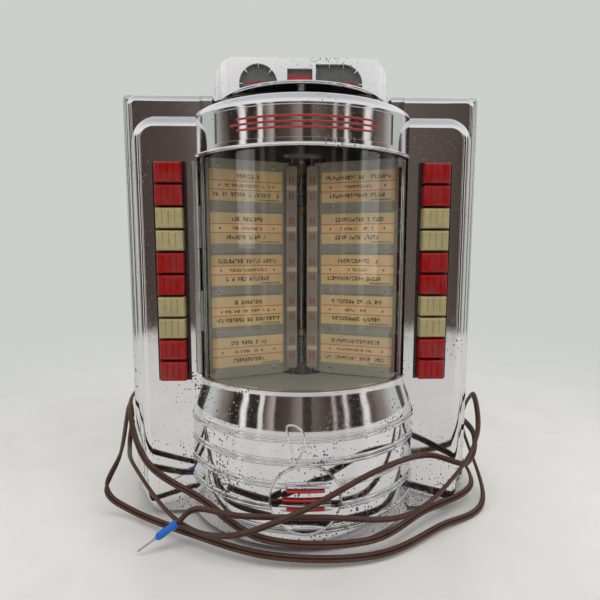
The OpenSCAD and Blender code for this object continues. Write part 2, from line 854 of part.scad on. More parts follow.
// Outline of the three dial windows, larger by a
module dial_windows(a = 0) {
    translate([-dial_x, dial_z]) circle(dial_r + a);
    translate([flag_x - a, dial_z - 8.5 - a]) square([flag_w + 2 * a, flag_h + 2 * a]);
    translate([12 - a, dial_z - dial_r - a]) square([24 + a, 2 * (dial_r + a)]);
    translate([36, dial_z]) circle(dial_r + a);
}

module crest() {
    color("gainsboro") difference() {
        union() {
            crest_form(0);
            along_y(crest_y, crest_y + crest_t) rect(-apron_half, apron_half, apron_z, case_top + 1);
        }
        crest_form(crest_t);
        along_y(crest_y + crest_t, crest_back - crest_t)
            rect(-apron_half, apron_half, case_top - 10, case_top + 1);
        along_y(crest_y - 1, crest_y + crest_t + 1) dial_windows();
        for (i = [0:2]) {
            x = (i - 1) * slot_pitch - slot_d[i] / 2;
            translate([x, chute_y + chute_d / 2 - 1.5, crest_top - crest_t - 1])
                cube([slot_d[i], 3, crest_t + 2]);
        }
    }
}

// Dial plates behind the crest's windows
module crest_dials() {
    y = crest_y + crest_t;
    x0 = 60;
    z0 = dial_z - dial_r - 0.6;
    color("dimgray") translate([-x0, y, z0]) cube([2 * x0, 1, crest_top - crest_t - z0 - 0.6]);
    color("crimson") translate([flag_x + 0.4, y - 1.2, dial_z - 8.1]) cube([flag_w - 0.8, 1.2, flag_h - 5]);
}

// The chute that carries coins from the slots over to the rejector
module coin_chute() {
    t = chute_t;
    half = 46;
    top = crest_top - crest_t;
    outer = [
        [-half, top], [half, top], [half, well_top - 6], [chute_x + chute_w, well_z],
        [chute_x + chute_w, chute_z], [chute_x, chute_z], [-half, well_z + 12]
    ];
    inner = [
        [-half + t, top + 1], [half - t, top + 1], [half - t, well_top - 7],
        [chute_x + chute_w - t, well_z - 1], [chute_x + chute_w - t, chute_z - 1],
        [chute_x + t, chute_z - 1], [-half + t, well_z + 13]
    ];
    color("silver") difference() {
        along_y(chute_y, chute_y + chute_d) polygon(outer);
        along_y(chute_y + t, chute_y + chute_d - t) polygon(inner);
    }
}

// The rejector: two plates with a cradle between, and the tube down to the cash box
module coin_rejector() {
    y0 = chute_y - 22;
    x1 = case_half - wall;
    top = chute_z;
    tube_z = foot_h + 86;
    color("silver") difference() {
        translate([chute_x, y0, reject_z]) cube([x1 - chute_x, chute_y + chute_d - y0, top - reject_z]);
        translate([chute_x + 1.5, y0 + 1.5, reject_z + 6])
            cube([chute_w + 4, chute_y + chute_d - y0 - 3, top - reject_z - 20]);
        translate([chute_x + 1.5, chute_y + 1, reject_z - 1])
            cube([chute_w - 3, chute_d - 2, top - reject_z + 2]);
    }
    color("silver") difference() {
        translate([chute_x, chute_y, tube_z]) cube([chute_w, chute_d, reject_z - tube_z]);
        translate([chute_x + 1, chute_y + 1, tube_z - 1])
            cube([chute_w - 2, chute_d - 2, reject_z - tube_z + 2]);
    }
}

module cash_box() {
    x0 = 44;
    x1 = chute_x + chute_w + 8;
    y0 = axis_y + 18;
    y1 = plate_y - wall - 10;
    h = 82;
    color("darkgray") difference() {
        union() {
            translate([x0, y0, floor_z]) cube([x1 - x0, y1 - y0, h]);
            translate([(x0 + x1) / 2 - 20, y0 - 8, floor_z + 36]) cube([40, 8, 8]);
        }
        translate([x0 + 1, y0 + 1, floor_z + 1]) cube([x1 - x0 - 2, y1 - y0 - 2, h]);
        translate([(x0 + x1) / 2 - 16, y0 - 6, floor_z + 35]) cube([32, 6, 10]);
    }
}

module transformer() {
    x = -case_half + 50;
    y = axis_y + 56;
    color("dimgray") translate([x - 26, y - 20, floor_z + 3]) difference() {
        cube([52, 40, 44]);
        for (dx = [8, 32]) translate([dx, -1, 8]) cube([12, 42, 28]);
    }
    color("peru") for (dx = [-1, 1])
        translate([x + dx * 12 - 5.9, y - 26, floor_z + 11.1]) cube([11.8, 52, 27.8]);
    color("silver") translate([x - 36, y - 20, floor_z]) cube([72, 40, 3]);
}

// The stepping unit that counts credit and reads the keys
module credit_unit() {
    x = -case_half + wall;
    z = 160;
    y1 = plate_y - wall - 2;
    color("silver") translate([x, y1 - 50, z]) cube([3, 50, 110]);
    color("peru") for (dz = [16, 60])
        translate([x + 3, y1 - 26, z + dz]) rotate([0, 90, 0]) cylinder(r = 10, h = 26);
    color("sienna") translate([x + 29, y1 - 46, z + 8]) cube([4, 42, 94]);
    color("dimgray") translate([x + 33, y1 - 26, z + 55]) rotate([0, 90, 0]) cylinder(r = 16, h = 5);
}

// ---------------------------------------------------------------- cord

module cord_gland() {
    flange = 2.5;
    nose_l = CORD[0].y - back_y;
    color("black") translate([GLAND.x, plate_y, GLAND.y]) rotate([-90, 0, 0]) union() {
        translate([0, 0, -flange]) cylinder(r = gland_r + 3, h = flange);
        translate([0, 0, -flange]) cylinder(r = gland_r - fit, h = flange + plate_t + 1);
        translate([0, 0, plate_t]) cylinder(r = gland_r + 3, h = 2);
        translate([0, 0, plate_t]) cylinder(r = gland_r - 1.5, h = nose_l);
    }
}

// Catmull-Rom curve through the cord's points: its place at u, counted in points
last = len(CORD) - 1;
function knot(i) = i < 0 ? 2 * CORD[0] - CORD[1] : i > last ? 2 * CORD[last] - CORD[last - 1] : CORD[i];
function bend(a, b, c, d, t) =
    (2 * b + (c - a) * t + (2 * a - 5 * b + 4 * c - d) * t * t + (3 * b - a - 3 * c + d) * t * t * t) / 2;
function curve(u) =
    let (i = min(floor(u), last - 1)) bend(knot(i - 1), knot(i), knot(i + 1), knot(i + 2), u - i);
function unit(v) = v / norm(v);
function heading(u) = unit(curve(min(u + 0.02, last)) - curve(max(u - 0.02, 0)));

module cord() {
    us = [for (i = [0:ring_count - 1]) last * i / (ring_count - 1)];
    rings = [
        for (u = us) let (p = curve(u), t = heading(u), s = unit(cross(t, [0, 0, 1])), n = cross(s, t))
            for (k = [0:cord_sides - 1])
                p + cord_r * (cos(360 * k / cord_sides) * s + sin(360 * k / cord_sides) * n)
    ];
    sides = [
        for (i = [0:ring_count - 2], k = [0:cord_sides - 1])
            let (a = i * cord_sides, j = (k + 1) % cord_sides, b = a + cord_sides)
                each [[a + k, a + j, b + j], [a + k, b + j, b + k]]
    ];
    end = (ring_count - 1) * cord_sides;
    caps = [
        for (k = [1:cord_sides - 2]) [0, k + 1, k],
        for (k = [1:cord_sides - 2]) [end, end + k, end + k + 1]
    ];
    color("saddlebrown") polyhedron(rings, concat(sides, caps));
}

module crimp_terminal() {
    p = CORD[last];
    t = heading(last);
    a = atan2(t.y, t.x);
    b = acos(t.z);
    translate(p) rotate([0, b, a]) {
        color("dodgerblue") cylinder(r = plug_r, h = plug_l);
        color("silver") translate([0, 0, plug_l]) cylinder(r = prong_r, h = prong_l);
    }
}

// ---------------------------------------------------------------- the nodes

case();
back_plate();
feet();
back_screws();
front_casting();
barrel_front();
window_ledge();
key_frames();
key_guides();
lamps();
wheel_well();
crest();
crest_dials();
coin_chute();
coin_rejector();
cash_box();
transformer();
credit_unit();
rotor_bracket();
detent_arm();
hinge_fixed_leaf();
hinge_pin();
door_catch();
cord_gland();
cord();
crimp_terminal();
crown();
window();
window_frame();
hinge_door_leaf();
page_wheel();
rotor_shaft();
leaf_carriers();
leaf_pins();
for (i = [1:6]) leaf(i - 1);
for (i = [1:key_count]) key(-1, i);
for (i = [1:key_count]) key(1, i);
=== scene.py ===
"""Dresses the wall box: castings, keys, leaves, window, crest and cord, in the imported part's frame."""

import logging
import math
from dataclasses import dataclass, field
from enum import Enum
from typing import Iterable, Sequence

import bmesh
import bpy
from mathutils import Matrix, Vector

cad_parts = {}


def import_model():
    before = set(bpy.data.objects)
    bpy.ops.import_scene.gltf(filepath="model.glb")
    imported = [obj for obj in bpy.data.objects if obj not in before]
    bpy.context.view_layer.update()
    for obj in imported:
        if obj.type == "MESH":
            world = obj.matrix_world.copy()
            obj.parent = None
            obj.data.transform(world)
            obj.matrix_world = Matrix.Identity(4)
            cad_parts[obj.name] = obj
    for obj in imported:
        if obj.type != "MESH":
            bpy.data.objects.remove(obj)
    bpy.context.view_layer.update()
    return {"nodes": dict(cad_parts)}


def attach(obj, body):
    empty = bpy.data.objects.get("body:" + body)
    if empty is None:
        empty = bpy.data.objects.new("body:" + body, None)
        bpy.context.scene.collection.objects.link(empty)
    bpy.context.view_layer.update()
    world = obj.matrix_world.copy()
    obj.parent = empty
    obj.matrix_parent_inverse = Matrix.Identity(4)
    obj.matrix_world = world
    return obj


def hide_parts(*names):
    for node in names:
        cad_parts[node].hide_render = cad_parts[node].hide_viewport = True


LOG = logging.getLogger("wall_box")

MM = 0.001
AXIS_Y = 4.0
WING_Y = -47.0
Point = tuple[float, float, float]
Colour = tuple[float, float, float]
Span = tuple[float, float]
Node = bpy.types.Node
Socket = bpy.types.NodeSocket
Item = bpy.types.Object

# Rows of print on a title strip: height of the middle, half height, marks along the row, greatest half width.
PRINT_ROWS = ((0.80, 0.070, 25.0, 0.44), (0.50, 0.050, 34.0, 0.34), (0.21, 0.070, 25.0, 0.46))


class Side(Enum):
    """The two sides of the box, as the sign of X."""

    LEFT = -1
    RIGHT = 1


class Kind(Enum):
    """What a finish is made of, which decides how its nodes are built."""

    CHROME = "chrome"
    HAZE_HIGHLIGHT = "haze_highlight"
    STEEL = "steel"
    ENAMEL = "enamel"
    PLASTIC = "plastic"
    RUBBER = "rubber"
    GLASS = "glass"
    PAPER = "paper"
    NUMBERS = "numbers"


@dataclass(frozen=True)
class Finish:
    """One surface finish.

    Args:
        name: name of the material.
        slot: the record's material slot; not used.
        kind: what it is made of.
        colour: base colour, linear.
        roughness: roughness where the surface is clean.
        age: how pitted, scuffed or dusty it is, from 0 to 1.
        grain: size of its fine pattern, in repeats per metre.
    """

    name: str
    slot: str
    kind: Kind
    colour: Colour
    roughness: float
    age: float = 0.3
    grain: float = 900.0


class Palette(Enum):
    """Every finish on the box."""

    CASTING = Finish("plated_casting", "chrome_casting", Kind.CHROME, (0.80, 0.80, 0.81), 0.045, 0.85, 430.0)
    # Crest: the casting's chrome made paler and less metallic, partly a haze on the plate and partly a
    # painted highlight for the light it reflects from above.
    CREST = Finish("haze_highlight_casting", "chrome_casting", Kind.HAZE_HIGHLIGHT, (0.93, 0.93, 0.94), 0.22, 1.0, 560.0)
    CASE = Finish("plated_case", "chrome_case", Kind.CHROME, (0.76, 0.76, 0.77), 0.06, 0.75, 430.0)
    ZINC = Finish("dull_zinc", "zinc_plate", Kind.STEEL, (0.48, 0.49, 0.50), 0.42, 0.6, 300.0)
    FOOT = Finish("foot_rubber", "foot_rubber", Kind.RUBBER, (0.022, 0.022, 0.022), 0.75, 0.5)
    SCREW = Finish("screw_steel", "screw_steel", Kind.STEEL, (0.42, 0.42, 0.43), 0.30, 0.4)
    # Window ledge: its cream enamel is darkened far below its own colour, painted shade for the ledge lying
    # in shadow inside the box.
    CREAM = Finish("cream_enamel", "cream_enamel", Kind.ENAMEL, (0.17, 0.162, 0.135), 0.42, 0.4)
    BLACK = Finish("black_enamel", "black_enamel", Kind.ENAMEL, (0.010, 0.010, 0.011), 0.35, 0.3)
    PHENOLIC = Finish("phenolic_board", "phenolic", Kind.PLASTIC, (0.06, 0.030, 0.018), 0.45, 0.3)
    TUBE = Finish("opal_tube", "lamp_tube", Kind.PLASTIC, (0.85, 0.85, 0.80), 0.22, 0.1)
    WELL = Finish("well_enamel", "dark_enamel", Kind.ENAMEL, (0.018, 0.018, 0.020), 0.55, 0.5)
    DIAL = Finish("dial_enamel", "dial_face", Kind.ENAMEL, (0.080, 0.083, 0.076), 0.50, 0.5)
    STEEL = Finish("rolled_steel", "bare_steel", Kind.STEEL, (0.50, 0.50, 0.49), 0.28, 0.4)
    BOX = Finish("grey_enamel", "grey_enamel", Kind.ENAMEL, (0.22, 0.24, 0.24), 0.42, 0.5)
    CORE = Finish("core_varnish", "core_steel", Kind.ENAMEL, (0.05, 0.045, 0.042), 0.40, 0.5)
    SPRING = Finish("blued_spring", "spring_steel", Kind.STEEL, (0.30, 0.29, 0.28), 0.25, 0.3)
    GLAND = Finish("gland_rubber", "gland_rubber", Kind.RUBBER, (0.022, 0.022, 0.022), 0.70, 0.4)
    CORD = Finish("cord_vinyl", "cord_brown", Kind.PLASTIC, (0.066, 0.026, 0.016), 0.36, 0.5)
    SLEEVE = Finish("sleeve_vinyl", "terminal_blue", Kind.PLASTIC, (0.012, 0.115, 0.50), 0.30, 0.2)
    GLASS = Finish("window_plastic", "window_plastic", Kind.GLASS, (0.95, 0.96, 0.95), 0.03, 0.2)
    LEAF = Finish("leaf_sheet", "leaf_grey", Kind.ENAMEL, (0.235, 0.215, 0.17), 0.34, 0.3)
    PAPER = Finish("title_paper", "leaf_grey", Kind.PAPER, (0.60, 0.41, 0.205), 0.62, 0.5)
    NUMBERS = Finish("number_print", "leaf_grey", Kind.NUMBERS, (0.235, 0.19, 0.15), 0.40, 0.3)
    RED = Finish("key_red", "key_red", Kind.PLASTIC, (0.27, 0.002, 0.001), 0.24, 0.5)
    IVORY = Finish("key_ivory", "key_cream", Kind.PLASTIC, (0.37, 0.305, 0.150), 0.26, 0.6)
    FLAG = Finish("flag_red", "dial_face", Kind.ENAMEL, (0.34, 0.008, 0.008), 0.34, 0.3)
    BRASS = Finish("aged_brass", "spring_steel", Kind.STEEL, (0.42, 0.28, 0.12), 0.30, 0.5)


# --- shader graphs


def shade(colour: Colour, share: float, lift: float = 0.0) -> Colour:
    """A colour scaled by a share, with some grey added."""
    return tuple(share * c + lift for c in colour)


class Graph:
    """A node tree under construction, with short ways to add nodes and links."""

    def __init__(self, tree: bpy.types.NodeTree) -> None:
        """Holds the tree."""
        self.tree = tree

    def add(self, kind: str, **inputs: object) -> Node:
        """Adds a node.

        Args:
            kind: the node's class name.
            inputs: its properties in lower case, or its sockets by name with spaces as underscores.

        Returns:
            The new node.
        """
        node = self.tree.nodes.new(kind)
        for key, value in inputs.items():
            if hasattr(node, key):
                setattr(node, key, value)
            else:
                self.put(node, key.replace("_", " "), value)
        return node

    def put(self, node: Node, socket: str | int, value: object) -> None:
        """Sets or links one input socket of a node."""
        target = node.inputs[socket]
        if isinstance(value, Socket):
            self.tree.links.new(value, target)
        else:
            target.default_value = value

    def maths(self, operation: str, a: object, b: object = 0.0, c: object = 0.5) -> Socket:
        """Adds a Math node.

        Args:
            operation: name of the operation.
            a: first value or socket.
            b: second value or socket.
            c: third value or socket, for an operation that takes one.

        Returns:
            The result's socket.
        """
        node = self.tree.nodes.new("ShaderNodeMath")
        node.operation = operation
        for index, value in enumerate((a, b, c)):
            self.put(node, index, value)
        return node.outputs[0]

    def times(self, a: object, b: object) -> Socket:
        """Product of two values."""
        return self.maths("MULTIPLY", a, b)

    def band(self, value: object, centre: float, half: float) -> Socket:
        """Mask that is 1 where a value is within half of the centre."""
        return self.maths("LESS_THAN", self.maths("ABSOLUTE", self.maths("SUBTRACT", value, centre)), half)

    def blend(self, factor: object, a: object, b: object) -> Socket:
        """Mixes two colours.

        Args:
            factor: share of b.
            a: first colour or socket.
            b: second colour or socket.

        Returns:
            The mixed colour's socket.
        """
        node = self.tree.nodes.new("ShaderNodeMix")
        node.data_type = "RGBA"
        self.put(node, 0, factor)
        for index, colour in ((6, a), (7, b)):
            self.put(node, index, colour if isinstance(colour, Socket) else (*colour, 1.0))
        return node.outputs[2]

    def ramp(self, value: object, low: float, high: float) -> Socket:
        """Value scaled so that low gives 0 and high gives 1, clamped."""
        node = self.add("ShaderNodeMapRange", clamp=True, Value=value, From_Min=low, From_Max=high)
        return node.outputs[0]

    def place(self) -> Socket:
        """Place on the object, in metres."""
        return self.add("ShaderNodeTexCoord").outputs["Object"]

    def noise(self, scale: float, detail: float, distortion: float = 0.0, at: Socket | None = None) -> Socket:
        """Soft noise.

        Args:
            scale: its repeats per metre.
            detail: its levels of detail.
            distortion: how far it is warped.
            at: the place, or None for the place on the object.

        Returns:
            Its value's socket.
        """
        where = self.place() if at is None else at
        node = self.add("ShaderNodeTexNoise", Vector=where, Scale=scale, Detail=detail, Distortion=distortion)
        return node.outputs[0]

    def cell(self, x: object, y: object, z: object = 0.0) -> Socket:
        """One random value for each whole place."""
        spot = self.add("ShaderNodeCombineXYZ", X=x, Y=y, Z=z).outputs[0]
        return self.add("ShaderNodeTexWhiteNoise", noise_dimensions="3D", Vector=spot).outputs["Value"]


def age_group() -> bpy.types.NodeTree:
    """Pits, smears and dust of an old plated or painted surface.

    Returns:
        A group with the outputs Pits, Smear and Dust, each from 0 to 1.
    """
    group = bpy.data.node_groups.new("surface_age", "ShaderNodeTree")
    for way, labels in (("INPUT", ("Amount", "Grain")), ("OUTPUT", ("Pits", "Smear", "Dust"))):
        for label in labels:
            group.interface.new_socket(label, in_out=way, socket_type="NodeSocketFloat")
    patch_scale, dust_scale, smear_scale = 22.0, 260.0, 9.0
    foot_high, foot_low, foot_share, widest_pit = 0.20, 0.04, 0.46, 0.52
    graph = Graph(group)
    given = graph.add("NodeGroupInput").outputs
    place = graph.place()
    cells = graph.add("ShaderNodeTexVoronoi", Vector=place, Scale=given["Grain"])
    height = graph.add("ShaderNodeSeparateXYZ", Vector=place).outputs["Z"]
    low = graph.times(graph.ramp(height, foot_high, foot_low), foot_share)
    dense = graph.maths("ADD", graph.ramp(graph.noise(patch_scale, 4.0, at=place), 0.42, 0.70), low)
    sizes = graph.add("ShaderNodeSeparateColor", Color=cells.outputs["Color"]).outputs[0]
    reach = graph.times(graph.times(dense, given["Amount"]), graph.times(sizes, widest_pit))
    graph.add(
        "NodeGroupOutput",
        Pits=graph.maths("LESS_THAN", cells.outputs["Distance"], reach),
        Smear=graph.ramp(graph.noise(smear_scale, 6.0, 1.2, at=place), 0.42, 0.66),
        Dust=graph.times(graph.ramp(graph.noise(dust_scale, 3.0, at=place), 0.40, 0.75), given["Amount"]),
    )
    return group


class Look(Graph):
    """The material of one finish."""

    def __init__(self, finish: Finish, age: bpy.types.NodeTree) -> None:
        """Builds its nodes.

        Args:
            finish: the finish.
            age: the shared group of pits, smears and dust.
        """
        self.finish = finish
        self.material = bpy.data.materials.new(finish.name)
        self.material.use_nodes = True
        super().__init__(self.material.node_tree)
        self.tree.nodes.clear()
        self.shader = self.add("ShaderNodeBsdfPrincipled")
        self.output = self.add("ShaderNodeOutputMaterial", Surface=self.shader.outputs[0])
        worn = self.add("ShaderNodeGroup", node_tree=age, Amount=finish.age, Grain=finish.grain)
        self.pits, self.smear, self.dust = (worn.outputs[label] for label in ("Pits", "Smear", "Dust"))
        {
            Kind.CHROME: self.chrome,
            Kind.HAZE_HIGHLIGHT: self.haze_highlight,
            Kind.STEEL: self.steel,
            Kind.ENAMEL: self.enamel,
            Kind.PLASTIC: self.plastic,
            Kind.RUBBER: self.rubber,
            Kind.GLASS: self.glass,
            Kind.PAPER: self.paper,
            Kind.NUMBERS: self.numbers,
        }[finish.kind]()

    def dress(self, **inputs: object) -> None:
        """Sets or links the shader's sockets, by name with spaces as underscores."""
        for key, value in inputs.items():
            self.put(self.shader, key.replace("_", " "), value)

    def rougher(self, mask: object, amount: float) -> Socket:
        """The finish's roughness, raised where a mask is."""
        return self.maths("ADD", self.finish.roughness, self.times(mask, amount))

    def bump(self, height: object, depth: float, strength: float) -> None:
        """Gives the shader a bump.

        Args:
            height: the height's socket.
            depth: depth of the bump in metres.
            strength: strength of the bump.
        """
        node = self.add("ShaderNodeBump", Strength=strength, Distance=depth, Height=height)
        self.dress(Normal=node.outputs[0])

    def plate(self, metal: float) -> None:
        """Plate with dark pits, greasy smears and a faint ripple.

        Args:
            metal: metallic share of a clean surface.
        """
        clean = self.finish.colour
        base = self.blend(self.smear, clean, shade(clean, 0.90))
        rough = self.maths("ADD", self.rougher(self.smear, 0.05), self.times(self.dust, 0.08))
        self.dress(
            Base_Color=self.blend(self.times(self.pits, 0.85), base, shade(clean, 0.10)),
            Metallic=self.maths("SUBTRACT", metal, self.times(self.pits, 0.5)),
            Roughness=self.maths("MAXIMUM", rough, self.times(self.pits, 0.6)),
        )
        self.bump(self.maths("SUBTRACT", self.noise(24.0, 1.0), self.times(self.pits, 0.3)), 0.0006, 0.2)

    def chrome(self) -> None:
        """Bright plate."""
        self.plate(1.0)

    def haze_highlight(self) -> None:
        """Plate made paler and less metallic all over: partly a haze, partly a painted highlight for the
        light it reflects from above.
        """
        self.plate(0.35)

    def steel(self) -> None:
        """Rolled or plated steel with fine drawing lines and stains."""
        clean, rust = self.finish.colour, (0.10, 0.06, 0.04)
        along = self.add("ShaderNodeMapping", Vector=self.place(), Scale=(1.0, 1.0, 0.05))
        lines = self.noise(1400.0, 2.0, at=along.outputs[0])
        drawn = self.maths("ADD", self.times(lines, 0.16), self.finish.roughness - 0.08)
        stained = self.blend(self.smear, clean, shade(clean, 0.80))
        self.dress(
            Base_Color=self.blend(self.times(self.pits, 0.7), stained, rust),
            Metallic=0.9,
            Roughness=self.maths("ADD", drawn, self.times(self.smear, 0.12)),
        )
        self.bump(lines, 0.00004, 0.5)

    def enamel(self) -> None:
        """Sprayed enamel with a fine skin and dust."""
        clean, lint = self.finish.colour, (0.30, 0.28, 0.24)
        dull = self.blend(self.smear, clean, shade(clean, 0.85, 0.015))
        dusty = self.blend(self.times(self.dust, 0.35), dull, lint)
        self.dress(Base_Color=dusty, Roughness=self.rougher(self.dust, 0.3))
        self.bump(self.noise(700.0, 2.0), 0.00008, 0.35)

    def plastic(self) -> None:
        """Moulded plastic with cloudiness, handling marks and a soft skin."""
        clean = self.finish.colour
        cloudy = self.blend(self.ramp(self.noise(70.0, 5.0), 0.38, 0.66), clean, shade(clean, 0.82, 0.02))
        self.dress(
            Base_Color=self.blend(self.times(self.dust, 0.4), cloudy, shade(clean, 0.35)),
            Roughness=self.rougher(self.smear, 0.14),
            Specular_IOR_Level=0.32,
        )
        self.bump(self.noise(420.0, 3.0), 0.00006, 0.4)

    def rubber(self) -> None:
        """Moulded rubber, chalky where dust sits."""
        chalky = self.blend(self.dust, self.finish.colour, (0.12, 0.11, 0.10))
        self.dress(Base_Color=chalky, Roughness=self.rougher(self.smear, 0.15))
        self.bump(self.dust, 0.0001, 0.4)

    def glass(self) -> None:
        """Clear window plastic with faint scuffs, which lets lamp light through."""
        self.dress(Base_Color=(*self.finish.colour, 1.0), Transmission_Weight=1.0, IOR=1.38)
        self.dress(Roughness=self.rougher(self.dust, 0.05))
        clear = self.add("ShaderNodeBsdfTransparent", Color=(0.96, 0.97, 0.96, 1.0))
        path = self.add("ShaderNodeLightPath")
        through = self.maths("MAXIMUM", path.outputs["Is Shadow Ray"], path.outputs["Is Diffuse Ray"])
        mix = self.add("ShaderNodeMixShader")
        for index, value in enumerate((through, self.shader.outputs[0], clear.outputs[0])):
            self.put(mix, index, value)
        self.put(self.output, "Surface", mix.outputs[0])

    def map_of_piece(self) -> tuple[Socket, Socket]:
        """Place across and up on the piece's own map."""
        place = self.add("ShaderNodeUVMap", uv_map="print").outputs[0]
        split = self.add("ShaderNodeSeparateXYZ", Vector=place)
        return split.outputs["X"], split.outputs["Y"]

    def row_of_print(self, u: Socket, up: Socket, number: Socket, row: int) -> Socket:
        """One row of plain flecks of ink on a title strip.

        Args:
            u: place along the strip.
            up: place up the strip.
            number: the strip's own number.
            row: number of the row from the top.

        Returns:
            Mask of the ink.
        """
        centre, half, pitch, widest = PRINT_ROWS[row]
        start = self.maths("MULTIPLY_ADD", number, 3.7, row * 1.31)
        seed = self.add("ShaderNodeTexWhiteNoise", noise_dimensions="1D", W=start)
        reach = self.times(self.maths("ADD", seed.outputs["Value"], 0.7), widest / 1.7)
        inside = self.maths("LESS_THAN", self.maths("ABSOLUTE", self.maths("SUBTRACT", u, 0.5)), reach)
        along = self.times(u, pitch)
        letters = self.cell(self.maths("FLOOR", along), self.times(number, 0.77 + row))
        word = self.maths("GREATER_THAN", letters, 0.15)
        level = self.maths("FLOOR", self.times(self.maths("SUBTRACT", up, centre - half), 1.5 / half))
        third = self.maths("FLOOR", self.times(along, 3.0))
        spot = self.cell(third, self.maths("MULTIPLY_ADD", number, 5.3), level)
        fleck = self.maths("GREATER_THAN", spot, 0.30)
        stroke = self.times(self.maths("LESS_THAN", self.maths("FRACT", along), 0.80), fleck)
        return self.times(self.times(self.band(up, centre, half), inside), self.times(word, stroke))

    def paper(self) -> None:
        """Aged title strip: two thin rules and three rows of plain bars."""
        across, up = self.map_of_piece()
        number, u = self.maths("FLOOR", across), self.maths("FRACT", across)
        ink: object = 0.0
        for row in range(len(PRINT_ROWS)):
            ink = self.maths("MAXIMUM", ink, self.row_of_print(u, up, number, row))
        for spot in (0.13, 0.87):
            ink = self.maths("MAXIMUM", ink, self.times(self.band(u, spot, 0.012), self.band(up, 0.5, 0.035)))
        small = self.times(self.band(up, 0.055, 0.028), self.band(u, 0.82, 0.13))
        dashes = self.maths("LESS_THAN", self.maths("FRACT", self.times(u, 48.0)), 0.6)
        ink = self.maths("MAXIMUM", ink, self.times(small, dashes))
        rules = self.maths("MAXIMUM", self.band(up, 0.36, 0.014), self.band(up, 0.645, 0.014))
        faded = self.blend(self.smear, self.finish.colour, shade(self.finish.colour, 0.86))
        middle = self.blend(self.band(up, 0.50, 0.14), faded, (0.64, 0.42, 0.205))
        lined = self.blend(self.times(rules, 0.85), middle, (0.40, 0.05, 0.02))
        inked = self.blend(self.times(ink, 0.86), lined, (0.022, 0.018, 0.015))
        self.dress(Base_Color=inked, Roughness=self.finish.roughness)
        self.bump(self.dust, 0.00005, 0.3)

    def numbers(self) -> None:
        """Number column: two red marks and a pale square for each title."""
        u, rows = self.map_of_piece()
        up = self.maths("FRACT", rows)
        marks = self.maths("MAXIMUM", self.band(up, 0.70, 0.085), self.band(up, 0.30, 0.085))
        legs = self.maths("MAXIMUM", self.band(u, 0.36, 0.09), self.band(u, 0.64, 0.09))
        square = self.times(self.band(up, 0.50, 0.055), self.band(u, 0.5, 0.45))
        colour = self.blend(self.times(marks, self.times(legs, 0.8)), self.finish.colour, (0.24, 0.045, 0.03))
        colour = self.blend(self.times(square, 0.8), colour, (0.52, 0.42, 0.25))
        dusty = self.blend(self.times(self.dust, 0.3), colour, (0.12, 0.10, 0.08))
        self.dress(Base_Color=dusty, Roughness=self.finish.roughness)


class Materials:
    """Makes each finish's material once."""

    def __init__(self) -> None:
        """Builds the shared group and an empty store."""
        self.age = age_group()
        self.made: dict[Palette, bpy.types.Material] = {}

    def of(self, choice: Palette) -> bpy.types.Material:
        """The material of a finish, made at its first use."""
        if choice not in self.made:
            self.made[choice] = Look(choice.value, self.age).material
        return self.made[choice]


# --- pieces


def add_object(name: str, data: bpy.types.ID) -> Item:
    """Makes an object from its data and puts it in the scene."""
    item = bpy.data.objects.new(name, data)
    bpy.context.scene.collection.objects.link(item)
    return item


def facing(direction: Point) -> Matrix:
    """Matrix that turns +Z to a direction."""
    return Vector(direction).to_track_quat("Z", "Y").to_matrix().to_4x4()


def round_axis(radius: float, angle: float, z: float) -> Point:
    """A point round the rotor's axis, at an angle in radians from straight ahead."""
    return (radius * math.sin(angle), AXIS_Y - radius * math.cos(angle), z)


def spread(half: float, steps: int) -> list[float]:
    """Even steps from minus a half width to plus it."""
    return [half * (2 * i / steps - 1) for i in range(steps + 1)]


